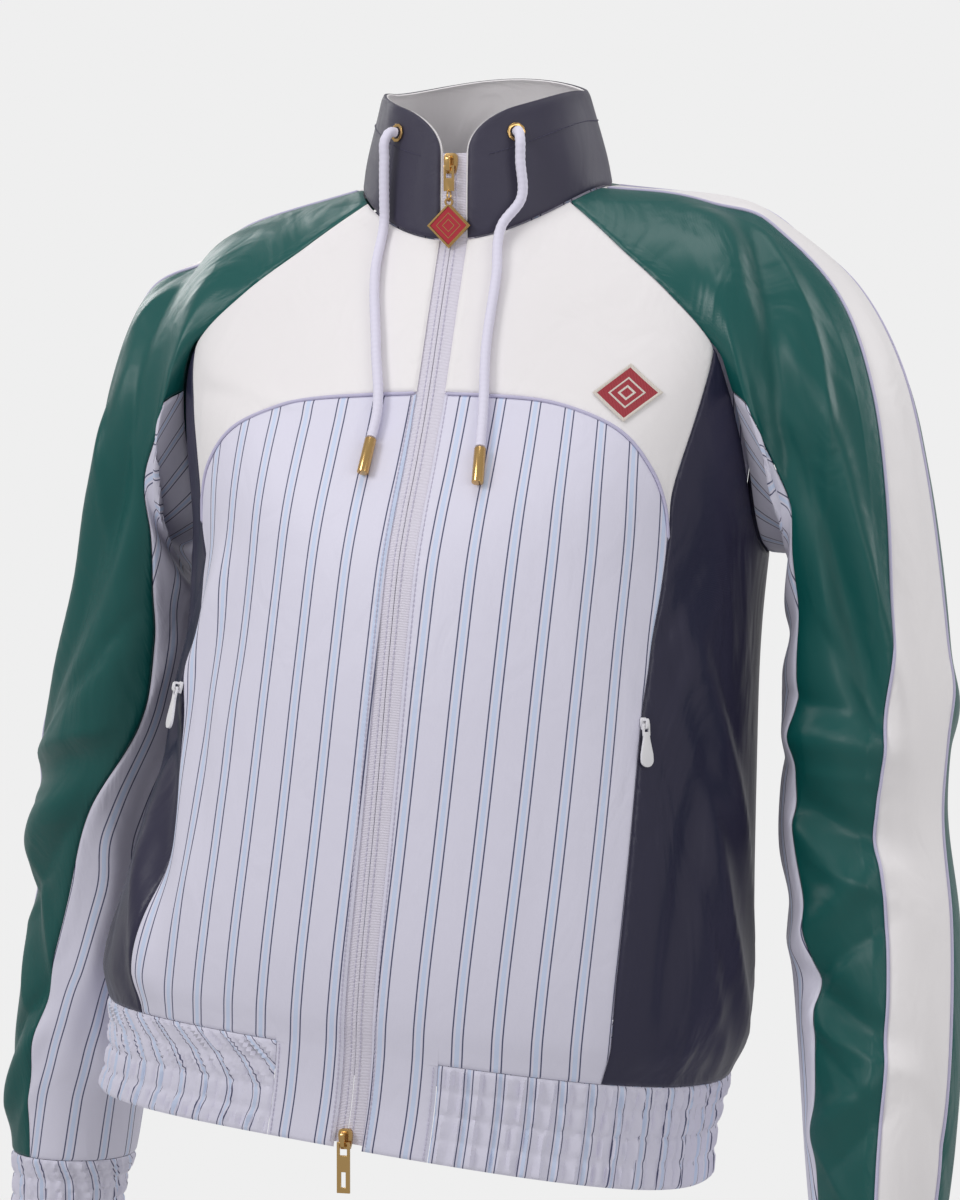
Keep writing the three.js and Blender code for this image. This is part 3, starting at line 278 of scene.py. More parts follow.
# Finer creases of the fronts, yokes, sides and back, sharper along their crests
BODY_CREASES = table(
    "across along length width depth slant",
    (-30, 300, 60, 7, 0.9, 14), (-38, 350, 55, 8, -1.2, -16), (-36, 420, 60, 9, 1.3, 10),
    (-24, 470, 40, 8, -0.9, -12), (-58, 235, 34, 6, -2.2, 40), (-60, 288, 40, 6, 2.0, 28),
    (-54, 335, 44, 6, -2.0, -22), (-58, 405, 46, 7, 1.6, -34), (-52, 462, 34, 7, -1.8, -20),
    (-34, 124, 46, 6, 1.6, 74), (-46, 138, 34, 6, -2.0, 68), (-20, 118, 40, 9, -0.7, 78),
    (-74, 250, 40, 7, 2.4, 24), (-92, 300, 60, 9, -2.4, 18), (-78, 360, 60, 8, 2.4, -18),
    (-100, 400, 70, 10, 2.6, 14), (-70, 440, 40, 7, -2.2, -30), (-86, 472, 26, 6, 2.0, 8),
    (34, 250, 50, 9, 0.6, -14), (30, 380, 70, 10, -0.7, 8), (40, 450, 50, 9, 0.8, -10),
    (60, 232, 34, 6, -2.0, 34), (66, 262, 40, 6, 1.8, 28), (58, 330, 50, 6, -1.5, -26),
    (70, 345, 60, 7, 2.4, -32), (84, 330, 70, 8, -2.2, -30), (60, 420, 44, 6, -1.8, 6),
    (74, 440, 60, 7, 2.0, -24), (92, 400, 80, 9, 2.2, -20), (66, 478, 20, 5, 1.8, 4),
    (78, 480, 20, 5, -1.8, 8), (88, 482, 20, 5, 1.8, -4), (98, 480, 22, 5, -1.6, 4),
    (110, 440, 60, 9, -2.2, 16), (140, 260, 70, 10, 1.4, 26), (160, 330, 90, 11, -1.4, 14),
    (-160, 320, 90, 11, 1.4, -16), (-140, 250, 70, 10, -1.4, -28), (170, 450, 50, 10, 1.4, 6),
    (-172, 440, 50, 10, -1.2, -8), (150, 478, 20, 6, 1.5, 3), (-150, 478, 20, 6, 1.5, -3),
    (180, 150, 60, 12, -1.0, 80), (165, 110, 40, 10, 1.0, 70), (-165, 108, 40, 10, 1.0, -70),
)
BODY_MM_PER_DEGREE = 3


def sample_table(rows, key, at):
    """Every column of a table at given values of its key column, on a smooth curve."""
    keys = rows[key]
    at = np.asarray(at, float)
    i = np.minimum(np.searchsorted(keys[1:], at, side="left"), len(keys) - 2)
    before, after = np.maximum(i - 1, 0), np.minimum(i + 2, len(keys) - 1)
    span = keys[i + 1] - keys[i]
    t = (at - keys[i]) / span
    ease = 3 * t**2 - 2 * t**3
    out = {}
    for name, column in rows.items():
        start = (column[i + 1] - column[before]) / (keys[i + 1] - keys[before]) * span
        end = (column[after] - column[i]) / (keys[after] - keys[i]) * span
        bend = start * (t**3 - 2 * t**2 + t) + end * (t**3 - t**2)
        out[name] = column[i] * (1 - ease) + column[i + 1] * ease + bend
    return out


def ring_point(row, angle):
    """The point of a level ring at an angle from the centre front, positive on the wearer's left."""
    sine, cosine = np.sin(np.radians(angle)), np.cos(np.radians(angle))
    power = 2 / row.get("square", 2.0)
    front = cosine > 0
    depth = np.where(front, row["frontY"], row["backY"]) - row["middleY"]
    rise = np.where(front, row["frontZ"], row["backZ"]) - row["sideZ"]
    half = np.where(sine > 0, row["left"], -row["right"])
    return np.stack([
        half * np.abs(sine) ** power,
        row["middleY"] + depth * np.abs(cosine) ** power,
        row["sideZ"] + rise * cosine**2,
    ], axis=-1)


def stand(point):
    """Lean the body below the chest and let its hem drop towards the wearer's left."""
    x, y, z = np.moveaxis(point, -1, 0)
    u = np.clip((STANCE["start"] - z) / (STANCE["start"] - STANCE["end"]), 0, 1.1)
    tilt = math.radians(STANCE["tilt"]) * u
    return np.stack([x * np.cos(tilt) + STANCE["shift"] * u * u, y, z - x * np.sin(tilt)], axis=-1)


def fold_height(folds, scale, across, along, crest=2.0):
    """Height of folds over the plain cloth; a crest under 2 makes them sharper."""
    height = np.zeros(np.broadcast(across, along).shape)
    for k, depth in enumerate(folds["depth"]):
        slant = math.radians(folds["slant"][k])
        dx = (across - folds["across"][k]) * scale
        dy = along - folds["along"][k]
        off = dx * math.cos(slant) + dy * math.sin(slant)
        run = dy * math.cos(slant) - dx * math.sin(slant)
        width, length = folds["width"][k], folds["length"][k]
        height += depth * np.exp(-np.abs(off / width) ** crest - (run / length) ** 4)
    return height



def on_surface(plain, height, u, v, du, dv, outward):
    """Points and outward directions on a surface given by a function of two numbers."""
    point = plain(u, v)
    normal = unit(np.cross(plain(u + du, v) - plain(u - du, v), plain(u, v + dv) - plain(u, v - dv)))
    turned = np.sum(normal * outward(point), axis=-1, keepdims=True) < 0
    normal = np.where(turned, -normal, normal)
    return point + normal * np.asarray(height)[..., None], normal


def away_from_middle(point):
    return point * np.array([1.0, 1.0, 0.0])


def body_plain(angle, drop):
    return stand(ring_point(sample_table(BODY, "drop", drop), angle))


def body_surface(angle, drop, height=0.0):
    angle, drop = np.broadcast_arrays(np.asarray(angle, float), np.asarray(drop, float))
    fold = fold_height(BODY_FOLDS, BODY_MM_PER_DEGREE, angle, drop)
    crease = fold_height(BODY_CREASES, BODY_MM_PER_DEGREE, angle, drop, crest=1.5)
    level = np.clip((drop - 60) / 60, 0, 1) * np.clip((BAND_TOP - drop) / 25, 0, 1)
    calm = level * np.clip(np.abs(angle) / 20 - 0.6, 0, 1)
    edge = np.clip((BAND_TOP + 4 - drop) / 10, 0, 1) * np.clip((drop - 60) / 40, 0, 1)
    fine = crease * edge * np.clip(np.abs(angle) / 20 - 0.4, 0, 1)
    return on_surface(body_plain, fold * calm + fine + height, angle, drop, 0.5, 0.5, away_from_middle)


def ring_angle(row, x, name):
    """The angle at which a ring is a given distance from the centre plane."""
    return np.degrees(np.arcsin((x / row[name]) ** (row.get("square", 2.0) / 2)))


def angle_at(x, drop, name):
    return ring_angle(sample_table(BODY, "drop", drop), x, name)


def side_angle(drop, which):
    return sample_table(SIDE_SEAM, "drop", drop)[which]


def yoke_seam_angle(share, name):
    start = angle_at(TAPE[name] + SEAM, 90, name)
    return start + (YOKE_END["angle"] - SEAM / 2 - start) * share


def yoke_seam_drop(angle, away):
    """The drop of the yoke seam, set off by the seam gap; away is -1 above it and 1 below it."""
    drop = sample_table(YOKE_SEAM, "angle", angle)["drop"]
    slope = (drop - sample_table(YOKE_SEAM, "angle", angle - 0.5)["drop"]) / (0.5 * BODY_MM_PER_DEGREE)
    return drop + away * SEAM * 2.7 * np.hypot(1, slope)


def shares(count, size, first=True, last=True):
    """Shares from 0 to 1, closer together beside the seams of a panel of that size in millimetres."""
    turn = np.array([0, 0.4, 0.9, 1.6, 2.6]) / size
    even = np.linspace(0, 1, count + 1)
    start = turn if first else even[:1]
    end = 1 - turn[::-1] if last else even[-1:]
    inner = even[(even > start[-1] + 0.4 / count) & (even < end[0] - 0.4 / count)]
    return np.concatenate([start, inner, end])


def run_lengths(point, axis):
    """Distance along a grid's rows or columns from their start."""
    step = np.linalg.norm(np.diff(point, axis=axis), axis=-1)
    zero = np.zeros_like(np.take(step, [0], axis=axis))
    return np.concatenate([zero, np.cumsum(step, axis=axis)], axis=axis)


def edge_distance(point, seams):
    """Distance from each grid point to the nearest of the named edges: top, bottom, near, far."""
    down, across = run_lengths(point, 0), run_lengths(point, 1)
    found = {"top": down, "bottom": down[-1:] - down, "near": across, "far": across[:, -1:] - across}
    return np.min([found[name] for name in seams.split()], axis=0)


def turn_in(point, normal, distance):
    """Sink the cloth into the groove that two panels share where they are sewn together."""
    dip = GROOVE["depth"] * np.exp(-((distance / GROOVE["width"]) ** 1.5))
    return point - normal * dip[..., None]


def finish_cloth(piece, point, normal, u, v, edge, thickness, crisp=40):
    """Lay a flat grid on the cloth's points, give it its thickness, and smooth it."""
    rows, columns = point.shape[:2]
    mesh = piece.data
    flat = np.empty(len(mesh.vertices) * 3)
    mesh.vertices.foreach_get("co", flat)
    flat = flat.reshape(-1, 3)
    i = np.rint((flat[:, 0] + 1) / 2 * (columns - 1)).astype(int)
    j = np.rint((1 - flat[:, 1]) / 2 * (rows - 1)).astype(int)
    mesh.vertices.foreach_set("co", (point[j, i] * MM).ravel())
    corner = np.empty(len(mesh.loops), int)
    mesh.loops.foreach_get("vertex_index", corner)
    pattern = np.stack([u[j, i], v[j, i]], axis=-1)[corner] * MM
    mesh.uv_layers[0].data.foreach_set("uv", pattern.ravel())
    mesh.uv_layers[0].name = "cloth"
    seam = mesh.attributes.new("seam", "FLOAT", "POINT")
    seam.data.foreach_set("value", np.minimum(edge[j, i], 99) * MM)
    mesh.update()
    faces = np.empty(len(mesh.polygons) * 3)
    mesh.polygons.foreach_get("normal", faces)
    middle = len(mesh.polygons) // 2
    near = mesh.polygons[middle].vertices[0]
    if faces.reshape(-1, 3)[middle] @ normal[j[near], i[near]] < 0:
        mesh.flip_normals()
    wall = piece.modifiers.new("wall", "SOLIDIFY")
    wall.thickness = thickness * MM
    wall.offset = -1
    bpy.context.view_layer.objects.active = piece
    bpy.ops.object.modifier_apply(modifier=wall.name)
    bpy.ops.object.shade_smooth_by_angle(angle=math.radians(crisp))


def flat_grid(name, point):
    """A flat grid with as many rows and columns as the cloth's points have."""
    rows, columns = point.shape[:2]
    bpy.ops.object.select_all(action="DESELECT")
    bpy.ops.mesh.primitive_grid_add(x_subdivisions=columns - 1, y_subdivisions=rows - 1, size=2)
    piece = bpy.context.object
    piece.name = name
    piece.data.name = name
    return piece


def sew(piece, node, material):
    """The calls that every cloth piece ends with."""
    piece.data.materials.clear()
    piece.data.materials.append(material)
    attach(piece, "jacket")
    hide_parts(node)



def node(tree, kind, settings=None, **inputs):
    """A node with its settings, and its inputs set to values or linked to other nodes' outputs."""
    made = tree.nodes.new("ShaderNode" + kind)
    for name, value in (settings or {}).items():
        setattr(made, name, value)
    for name, value in inputs.items():
        socket = made.inputs[int(name[1:])] if name[0] == "i" and name[1:].isdigit() else made.inputs[name]
        if isinstance(value, bpy.types.NodeSocket):
            tree.links.new(value, socket)
        else:
            socket.default_value = value
    return made


def maths(tree, operation, *values):
    inputs = {"i%d" % k: value for k, value in enumerate(values)}
    return node(tree, "Math", {"operation": operation}, **inputs).outputs[0]


def noise(tree, vector, scale, detail=2.0, distortion=0.0):
    made = node(tree, "TexNoise", None, Vector=vector, Scale=scale, Detail=detail, Distortion=distortion)
    return made.outputs["Fac"]


def stretched(tree, vector, scale):
    return node(tree, "Mapping", None, Vector=vector, Scale=scale).outputs["Vector"]


def blend_colours(tree, share, first, second):
    made = node(tree, "Mix", {"data_type": "RGBA"})
    for socket, value in ((made.inputs[0], share), (made.inputs[6], first), (made.inputs[7], second)):
        if isinstance(value, bpy.types.NodeSocket):
            tree.links.new(value, socket)
        else:
            socket.default_value = value if isinstance(value, float) else (*value, 1)
    return made.outputs[2]


def puckers(tree, uv, strength):
    """Small wrinkles square to a seam, which die away a few millimetres from it."""
    seam = node(tree, "Attribute", {"attribute_name": "seam"}).outputs["Fac"]
    near = node(tree, "MapRange", None, Value=seam, **{"From Min": 0.001, "From Max": 0.011,
                                                       "To Min": strength, "To Max": 0.0}).outputs[0]
    return maths(tree, "MULTIPLY", noise(tree, uv, 150, 1.0, 0.4), near)


def cloth_bumps(tree, surface, weave, ripple, ripple_scale, pucker):
    """Weave, soft ripples and seam puckers, as one height for the shader's normal."""
    uv = node(tree, "UVMap").outputs["UV"]
    place = node(tree, "TexCoord").outputs["Object"]
    threads = node(tree, "TexWave", {"bands_direction": "DIAGONAL"}, Vector=uv, Scale=900.0,
                   Distortion=0.6).outputs["Fac"]
    soft = noise(tree, stretched(tree, place, (1.0, 1.0, 0.55)), ripple_scale, 2.5, 1.4)
    height = maths(tree, "MULTIPLY_ADD", soft, ripple, puckers(tree, uv, pucker))
    height = maths(tree, "MULTIPLY_ADD", threads, weave, height)
    bump = node(tree, "Bump", None, Height=height, Distance=0.001, Strength=1.0)
    tree.links.new(bump.outputs["Normal"], surface.inputs["Normal"])
    return uv, place


STRIPES = {"repeat": 23.0, "apart": 6.2, "pin": 0.85, "band": 2.7, "soft": 0.25}
GROUND = (0.735, 0.715, 0.845)
PIN = (0.045, 0.05, 0.13)
BAND = (0.60, 0.68, 0.88)


def striped_cloth(name):
    """White satin with pairs of navy pinstripes and a pale blue band between them, along the grain."""
    material, tree, surface = shader(name, 0.48, Sheen_Weight=0.12, Sheen_Roughness=0.4)
    uv, place = cloth_bumps(tree, surface, 0.035, 1.1, 30.0, 0.55)
    across = node(tree, "SeparateXYZ", None, Vector=uv).outputs["X"]
    repeat = maths(tree, "FRACT", maths(tree, "MULTIPLY_ADD", across, 1 / (STRIPES["repeat"] * MM), 0.5))
    off = maths(tree, "ABSOLUTE", maths(tree, "SUBTRACT", repeat, 0.5))
    off = maths(tree, "MULTIPLY", off, STRIPES["repeat"])

    def line(distance, half):
        edges = {"From Min": half - STRIPES["soft"] / 2, "From Max": half + STRIPES["soft"] / 2,
                 "To Min": 1.0, "To Max": 0.0}
        return node(tree, "MapRange", None, Value=distance, **edges).outputs[0]

    from_pin = maths(tree, "ABSOLUTE", maths(tree, "SUBTRACT", off, STRIPES["apart"] / 2))
    colour = blend_colours(tree, line(off, STRIPES["band"] / 2), GROUND, BAND)
    colour = blend_colours(tree, line(from_pin, STRIPES["pin"] / 2), colour, PIN)
    mottle = maths(tree, "MULTIPLY_ADD", noise(tree, place, 14, 3.0), 0.07, -0.01)
    colour = blend_colours(tree, mottle, colour, (0.52, 0.50, 0.62))
    tree.links.new(colour, surface.inputs["Base Color"])
    return material


striped_satin = striped_cloth("striped_satin")
GRAIN = {"slope": 0.02, "level": 305}  # the stripes lean this much against the zip
FIRST_STRIPE = {"left": 19.0, "right": -11.1}  # from the zip, at the level where the lean is none


def ring_run(angle, drop):
    """Distance round the body from the centre front, along its level ring, at each grid point."""
    turns = np.linspace(0, 1, 61)
    path = body_plain(angle[..., None] * turns, np.broadcast_to(drop[..., None], angle.shape + (61,)))
    return np.linalg.norm(np.diff(path, axis=-2), axis=-1).sum(axis=-1)


def front_place(share, level, name):
    """Angle and drop on a front; past level 1 it is the flat stretch that runs on to the hem."""
    top_angle = yoke_seam_angle(share, name)
    top = yoke_seam_drop(top_angle, 1)
    drop = np.where(level <= 1, top + (BAND_TOP - top) * level, BAND_TOP + (HEM - BAND_TOP) * (level - 1))
    drop = np.where((level == 1) & (share > FLAT_SHARE + 1e-6), drop - SEAM, drop)
    begin = np.clip(level * 20, 0, 1)
    near = angle_at(TAPE[name] + SEAM, drop, name) * begin + yoke_seam_angle(0, name) * (1 - begin)
    far = side_angle(np.minimum(drop, BAND_TOP), "front") * begin + YOKE_END["angle"] * (1 - begin)
    far = far - SEAM / 2
    flat = angle_at(FLAT_FRONT, drop, name)
    eased = np.clip(level * 1.4, 0, 1)
    even = near + (far - near) * share
    split = np.where(share <= FLAT_SHARE, near + (flat - near) * share / FLAT_SHARE,
                     flat + (far - flat) * (share - FLAT_SHARE) / (1 - FLAT_SHARE))
    return even + (split - even) * eased, drop


for half in SIDES:
    name, side = half["name"], half["side"]
    split_share = np.concatenate([shares(14, 60) * FLAT_SHARE,
                                  FLAT_SHARE + shares(32, 110)[1:] * (1 - FLAT_SHARE)])
    levels = np.concatenate([shares(120, 340), 1 + shares(18, 56)[1:]])
    share, level = np.meshgrid(split_share, levels)
    angle, drop = front_place(share, level, name)
    point, normal = body_surface(angle * side, drop)
    down, across = run_lengths(point, 0), run_lengths(point, 1)
    last, flap = int(np.searchsorted(levels, 1)), share > FLAT_SHARE + 1e-6
    edge = np.min([down, across, across[:, -1:] - across, down[-1:] - down], axis=0)
    edge = np.where(flap, np.minimum(edge, np.abs(down[last] - down)), edge)
    corner_run = np.abs(across - across[:, np.argmin(np.abs(split_share - FLAT_SHARE))][:, None])
    edge = np.where(~flap & (level > 1), np.minimum(edge, corner_run), edge)
    point = turn_in(point, normal, edge)
    piece = flat_grid("front_cloth_" + name, point)
    grain = ring_run(angle * side, drop) * side + GRAIN["slope"] * (drop - GRAIN["level"])
    kept = {"rows": last, "columns": int(np.argmin(np.abs(split_share - FLAT_SHARE)))}
    bpy.ops.object.mode_set(mode="EDIT")
    bpy.ops.mesh.select_mode(type="FACE")
    bpy.ops.mesh.select_all(action="DESELECT")
    bpy.ops.object.mode_set(mode="OBJECT")
    for polygon in piece.data.polygons:
        column = (polygon.center.x + 1) / 2 * (point.shape[1] - 1)
        row = (1 - polygon.center.y) / 2 * (point.shape[0] - 1)
        polygon.select = row > kept["rows"] and column > kept["columns"]
    bpy.ops.object.mode_set(mode="EDIT")
    bpy.ops.mesh.delete(type="FACE")
    bpy.ops.object.mode_set(mode="OBJECT")
    finish_cloth(piece, point, normal, grain - FIRST_STRIPE[name], drop, edge, CLOTH)
    sew(piece, "front_" + name, striped_satin)

# The two yokes are plain white satin over the chest, cut from the neck seam down to a piped seam. Their
# slanting outer edges are the raglan seams, and below the arm they meet the navy side panels.
# The raglan loop round each arm: around is the angle round the sleeve, 0 on the shoulder, 90 in front
LOOP = table(
    "around angle drop",
    (0, 97, 0), (25, 80, 0), (42.17, 57, 0), (59.33, 55, 38), (76.5, 55.5, 72), (93.67, 58, 105),
    (110.83, 62, 135), (128, 67, 158), (154, 82, 202), (180, 96, 214), (206, 108, 202), (232, 117, 158),
    (249.17, 119, 135), (266.33, 121, 105), (283.5, 122.5, 72), (300.67, 124, 38), (317.83, 128, 0),
    (335, 114, 0), (360, 97, 0),
)
NECK_CORNERS = (42.17, 317.83)
LOWER_LOOP = {name: column[2:-2] for name, column in LOOP.items()}
SIDE_LEVELS = (135, 205, 500)  # top of a side seam, end of the yoke seam, waistband


def loop_place(around):
    """The raglan loop as a place on the body: straight along the neck, and smooth below it."""
    turn = np.mod(around, 360)
    neck = (turn <= NECK_CORNERS[0]) | (turn >= NECK_CORNERS[1])
    below = sample_table(LOWER_LOOP, "around", np.clip(turn, *NECK_CORNERS))
    return np.where(neck, np.interp(turn, LOOP["around"], LOOP["angle"]), below["angle"]), \
        np.where(neck, 0.0, below["drop"])


def raglan_edge(step, which):
    """Angle and drop down the raglan seam (steps 0 to 8) and on down the side seam (to 12, then 22)."""
    around = NECK_CORNERS[0] + (110.83 - NECK_CORNERS[0]) * np.clip(step / 8, 0, 1)
    angle, drop = loop_place(around if which == "front" else 360 - around)
    low = np.interp(step - 8, (0, 4, 14), SIDE_LEVELS)
    return np.where(step <= 8, angle, side_angle(low, which)), np.where(step <= 8, drop, low)


def patch(edges, across, down):
    """A value inside a panel from its four edges, for grids of shares across and down."""
    (top, bottom), (near, far) = edges
    corners = (1 - down) * (top[:1] * (1 - across) + top[-1:] * across)
    corners = corners + down * (bottom[:1] * (1 - across) + bottom[-1:] * across)
    filled = top * (1 - down) + bottom * down
    return filled + near[:, None] * (1 - across) + far[:, None] * across - corners


white_satin, tree, surface = shader("white_satin", 0.46, (0.86, 0.83, 0.84),
                                    Sheen_Weight=0.15, Sheen_Roughness=0.4)
place = cloth_bumps(tree, surface, 0.03, 1.3, 26.0, 0.5)[1]
mottle = maths(tree, "MULTIPLY", noise(tree, place, 11, 3.0), 0.16)
tree.links.new(blend_colours(tree, mottle, (0.86, 0.83, 0.84), (0.70, 0.66, 0.70)),
               surface.inputs["Base Color"])

for half in SIDES:
    name, side = half["name"], half["side"]
    across, down = shares(56, 150), shares(64, 190)
    steps = down * 12
    top = angle_at(TAPE[name] + SEAM, 0, name)
    top = top + (57 - SEAM / 2 - top) * across
    seam_angle = yoke_seam_angle(across, name)
    near_drop = SEAM + (90 - 2 * SEAM) * down
    far_angle, far_drop = raglan_edge(steps, "front")
    far_drop = np.clip(far_drop, SEAM, YOKE_END["drop"] - SEAM)
    grid = np.meshgrid(across, down)
    angle = patch(((top, seam_angle), (angle_at(TAPE[name] + SEAM, near_drop, name),
                                       far_angle - SEAM / 2)), *grid)
    neck, low = np.full_like(across, SEAM), yoke_seam_drop(seam_angle, -1)
    drop = patch(((neck, low), (near_drop, far_drop)), *grid)
    point, normal = body_surface(angle * side, drop)
    edge = edge_distance(point, "top bottom near far")
    point = turn_in(point, normal, edge)
    piece = flat_grid("yoke_cloth_" + name, point)
    finish_cloth(piece, point, normal, run_lengths(point, 1), run_lengths(point, 0), edge, CLOTH)
    sew(piece, "yoke_" + name, white_satin)

# Each side panel is a single piece of navy satin under the arm, from the raglan seam to the waistband. The
# pocket's zip hides in its front seam. The cloth is soft and shiny, and drags into long slanting creases.
navy_satin, tree, surface = shader("navy_satin", 0.35, (0.024, 0.022, 0.052), Specular_IOR_Level=0.42)
cloth_bumps(tree, surface, 0.03, 3.2, 17.0, 0.6)

for half in SIDES:
    name, side = half["name"], half["side"]
    across, down = shares(44, 150), shares(120, 330)
    around = np.interp(across * 8, np.arange(9), [110.83, *np.linspace(128, 232, 7), 249.17])
    top_angle, top_drop = loop_place(around)
    low = np.interp(down * 14, (0, 4, 14), SIDE_LEVELS)
    low = np.clip(low, 135 + SEAM * 1.2, BAND_TOP - SEAM)
    ends = side_angle(BAND_TOP, "front") + SEAM / 2, side_angle(BAND_TOP, "back") - SEAM / 2
    grid = np.meshgrid(across, down)
    angle = patch(((top_angle + (0.5 - across) * SEAM, ends[0] + (ends[1] - ends[0]) * across),
                   (side_angle(low, "front") + SEAM / 2, side_angle(low, "back") - SEAM / 2)), *grid)
    drop = patch(((top_drop + SEAM * 1.2, np.full_like(across, BAND_TOP - SEAM)), (low, low)), *grid)
    point, normal = body_surface(angle * side, drop)
    edge = edge_distance(point, "top bottom near far")
    point = turn_in(point, normal, edge)
    piece = flat_grid("side_cloth_" + name, point)
    finish_cloth(piece, point, normal, run_lengths(point, 1), run_lengths(point, 0), edge, CLOTH)
    sew(piece, "side_" + name, navy_satin)

# The back is one piece of the striped cloth, between the two back raglan seams and the side panels. It
# hangs from the shoulders and falls in broad soft folds that gather towards the waistband.
across, down = shares(110, 330), shares(150, 500)
edge_angle, edge_drop = raglan_edge(down * 22, "back")
edge_drop = np.clip(edge_drop, SEAM, BAND_TOP - SEAM)
share, start = np.meshgrid(across, edge_angle + SEAM / 2)
angle = start + (360 - 2 * start) * share
drop = np.broadcast_to(edge_drop[:, None], angle.shape)
angle = np.where(angle > 180, angle - 360, angle)
point, normal = body_surface(angle, drop)
edge = edge_distance(point, "top bottom near far")
point = turn_in(point, normal, edge)
piece = flat_grid("back_cloth", point)
across = run_lengths(point, 1)
finish_cloth(piece, point, normal, across - across[:, -1:] / 2 + 5, run_lengths(point, 0), edge, CLOTH)
sew(piece, "back", striped_satin)

# The waistband is a strip of the striped cloth a quarter longer than the hem, folded over elastic and
# stitched through in three rows, so that it shirrs into fine upright gathers between the rows.
BAND_GATHER = 1.25
BAND_ROWS = (514, 528, 542)
GATHER = {"pitch": 8.2, "height": 1.25}


def gathers(run, along, rows, ends, seed, height):
    """Height of elastic gathers: upright ripples that change from one stitched row to the next."""
    bounds = np.concatenate([[ends[0]], rows, [ends[1]]])
    total = np.zeros_like(run)
    for k in range(len(bounds) - 1):
        middle, half = (bounds[k] + bounds[k + 1]) / 2, (bounds[k + 1] - bounds[k]) / 2
        inside = np.clip(1 - np.abs((along - middle) / half) ** 4, 0, 1)
        turn = 2 * np.pi * run / GATHER["pitch"] + 1.9 * np.sin(run / 23 + seed)
        turn = turn + 1.1 * np.sin(run / 9.7 + k * 0.5)
        wave = np.sin(turn + 0.35 * k) + 0.45 * np.sin(turn * 1.83 + k + seed) + 0.3 * np.sin(turn * 0.41)
        total += inside * wave * height
    return total


def row_groove(along, rows):
    """How far the stitched rows pull the cloth in."""
    return sum(-0.9 * np.exp(-(((along - row) / 1.6) ** 2)) for row in rows)


across, down = shares(430, 1100), shares(26, 56)
drop = BAND_TOP + SEAM + (HEM - BAND_TOP - SEAM) * down
near = angle_at(FLAT_FRONT, drop, "left") + SEAM / 2
far = 360 - angle_at(FLAT_FRONT, drop, "right") - SEAM / 2
share, drop = np.meshgrid(across, drop)
angle = near[:, None] + (far - near)[:, None] * share
angle = np.where(angle > 180, angle - 360, angle)
plain = body_plain(angle, drop)
run = run_lengths(plain, 1)
calm = np.clip(np.minimum(share, 1 - share) * 300, 0, 1)
height = gathers(run, drop, BAND_ROWS, (BAND_TOP, HEM), 0.4, GATHER["height"]) * calm
height = height + row_groove(drop, BAND_ROWS)
point, normal = body_surface(angle, drop, height)
edge = edge_distance(plain, "top bottom near far")
point = turn_in(point, normal, edge)
piece = flat_grid("waistband_cloth", point)
finish_cloth(piece, point, normal, run * BAND_GATHER, drop, edge, 1.2)
sew(piece, "waistband", striped_satin)

# Each sleeve is four long pieces from the neck and the raglan seam to the cuff: a white shoulder stripe,
# green satin before and behind it, and a striped piece under the arm. The cloth hangs from the shoulder
# and breaks into deep folds at the bent elbow. Rings are listed by their reach down the sleeve.
LEFT_SLEEVE = table(
    "reach x y z tilt outer fore swing stripeF stripeB underF underB",
    (45, 176, 25, -113, 104, 111, 91, 32, 25, -25, 125, 232),
    (85, 190, 26, -130, 92, 104, 84, 24, 27, -24, 125, 230),
    (125, 206, 26, -150, 81, 94, 78, 14, 31, -18, 125, 230),
    (170, 216, 25, -180, 67, 81, 75, 6, 37, -12, 125, 232),
    (215, 225, 24, -217, 54, 65, 72, 0, 42, -8, 127, 234),
    (265, 228, 22, -262, 31, 54, 69, 0, 50, -6, 126, 238),
    (325, 232, 18, -318, 18, 52, 66, 0, 59, -3, 131, 243),
    (385, 231, 12, -378, 10, 50, 63, 0, 63, 3, 128, 248),
    (450, 241, 2, -440, 8, 50, 60, 0, 65, 10, 122, 253),
    (515, 248, -12, -505, 6, 48, 56, 0, 70, 16, 128, 258),
    (575, 251, -24, -565, 4, 44, 50, 0, 76, 20, 134, 262),
    (620, 252, -32, -610, 2, 39, 43, 0, 78, 22, 136, 264),
    (636, 252, -35, -626, 2, 36, 39, 0, 78, 22, 136, 264),
    (675, 253, -42, -665, 2, 35, 37, 0, 78, 22, 136, 264),
)
RIGHT_SLEEVE = table(
    "reach x y z tilt outer fore swing stripeF stripeB underF underB",
    (45, 182, 25, -118, 104, 103, 91, 32, 24, -25, 123, 232),
    (85, 194, 27, -136, 92, 97, 84, 24, 22, -28, 119, 228),
    (125, 209, 28, -150, 81, 94, 78, 14, 18, -32, 118, 226),
    (170, 215, 28, -180, 67, 80, 75, 6, 15, -36, 118, 226),
    (215, 222, 28, -217, 54, 63, 72, 0, 13, -40, 119, 226),
    (265, 227, 28, -262, 31, 49, 69, 0, 12, -43, 122, 226),
    (325, 243, 30, -318, 18, 48, 66, 0, 12, -45, 124, 226),
    (385, 265, 46, -378, 12, 50, 62, 0, 11, -46, 102, 224),
    (450, 271, 60, -440, 8, 48, 59, 0, 10, -47, 82, 220),
    (515, 287, 68, -505, 6, 46, 55, 0, 9, -48, 74, 216),
    (575, 300, 72, -565, 4, 43, 49, 0, 8, -49, 70, 212),
    (620, 305, 75, -610, 2, 39, 43, 0, 8, -50, 68, 210),
    (636, 308, 76, -626, 2, 36, 39, 0, 8, -50, 68, 210),
    (675, 314, 79, -665, 2, 35, 37, 0, 8, -50, 68, 210),
)
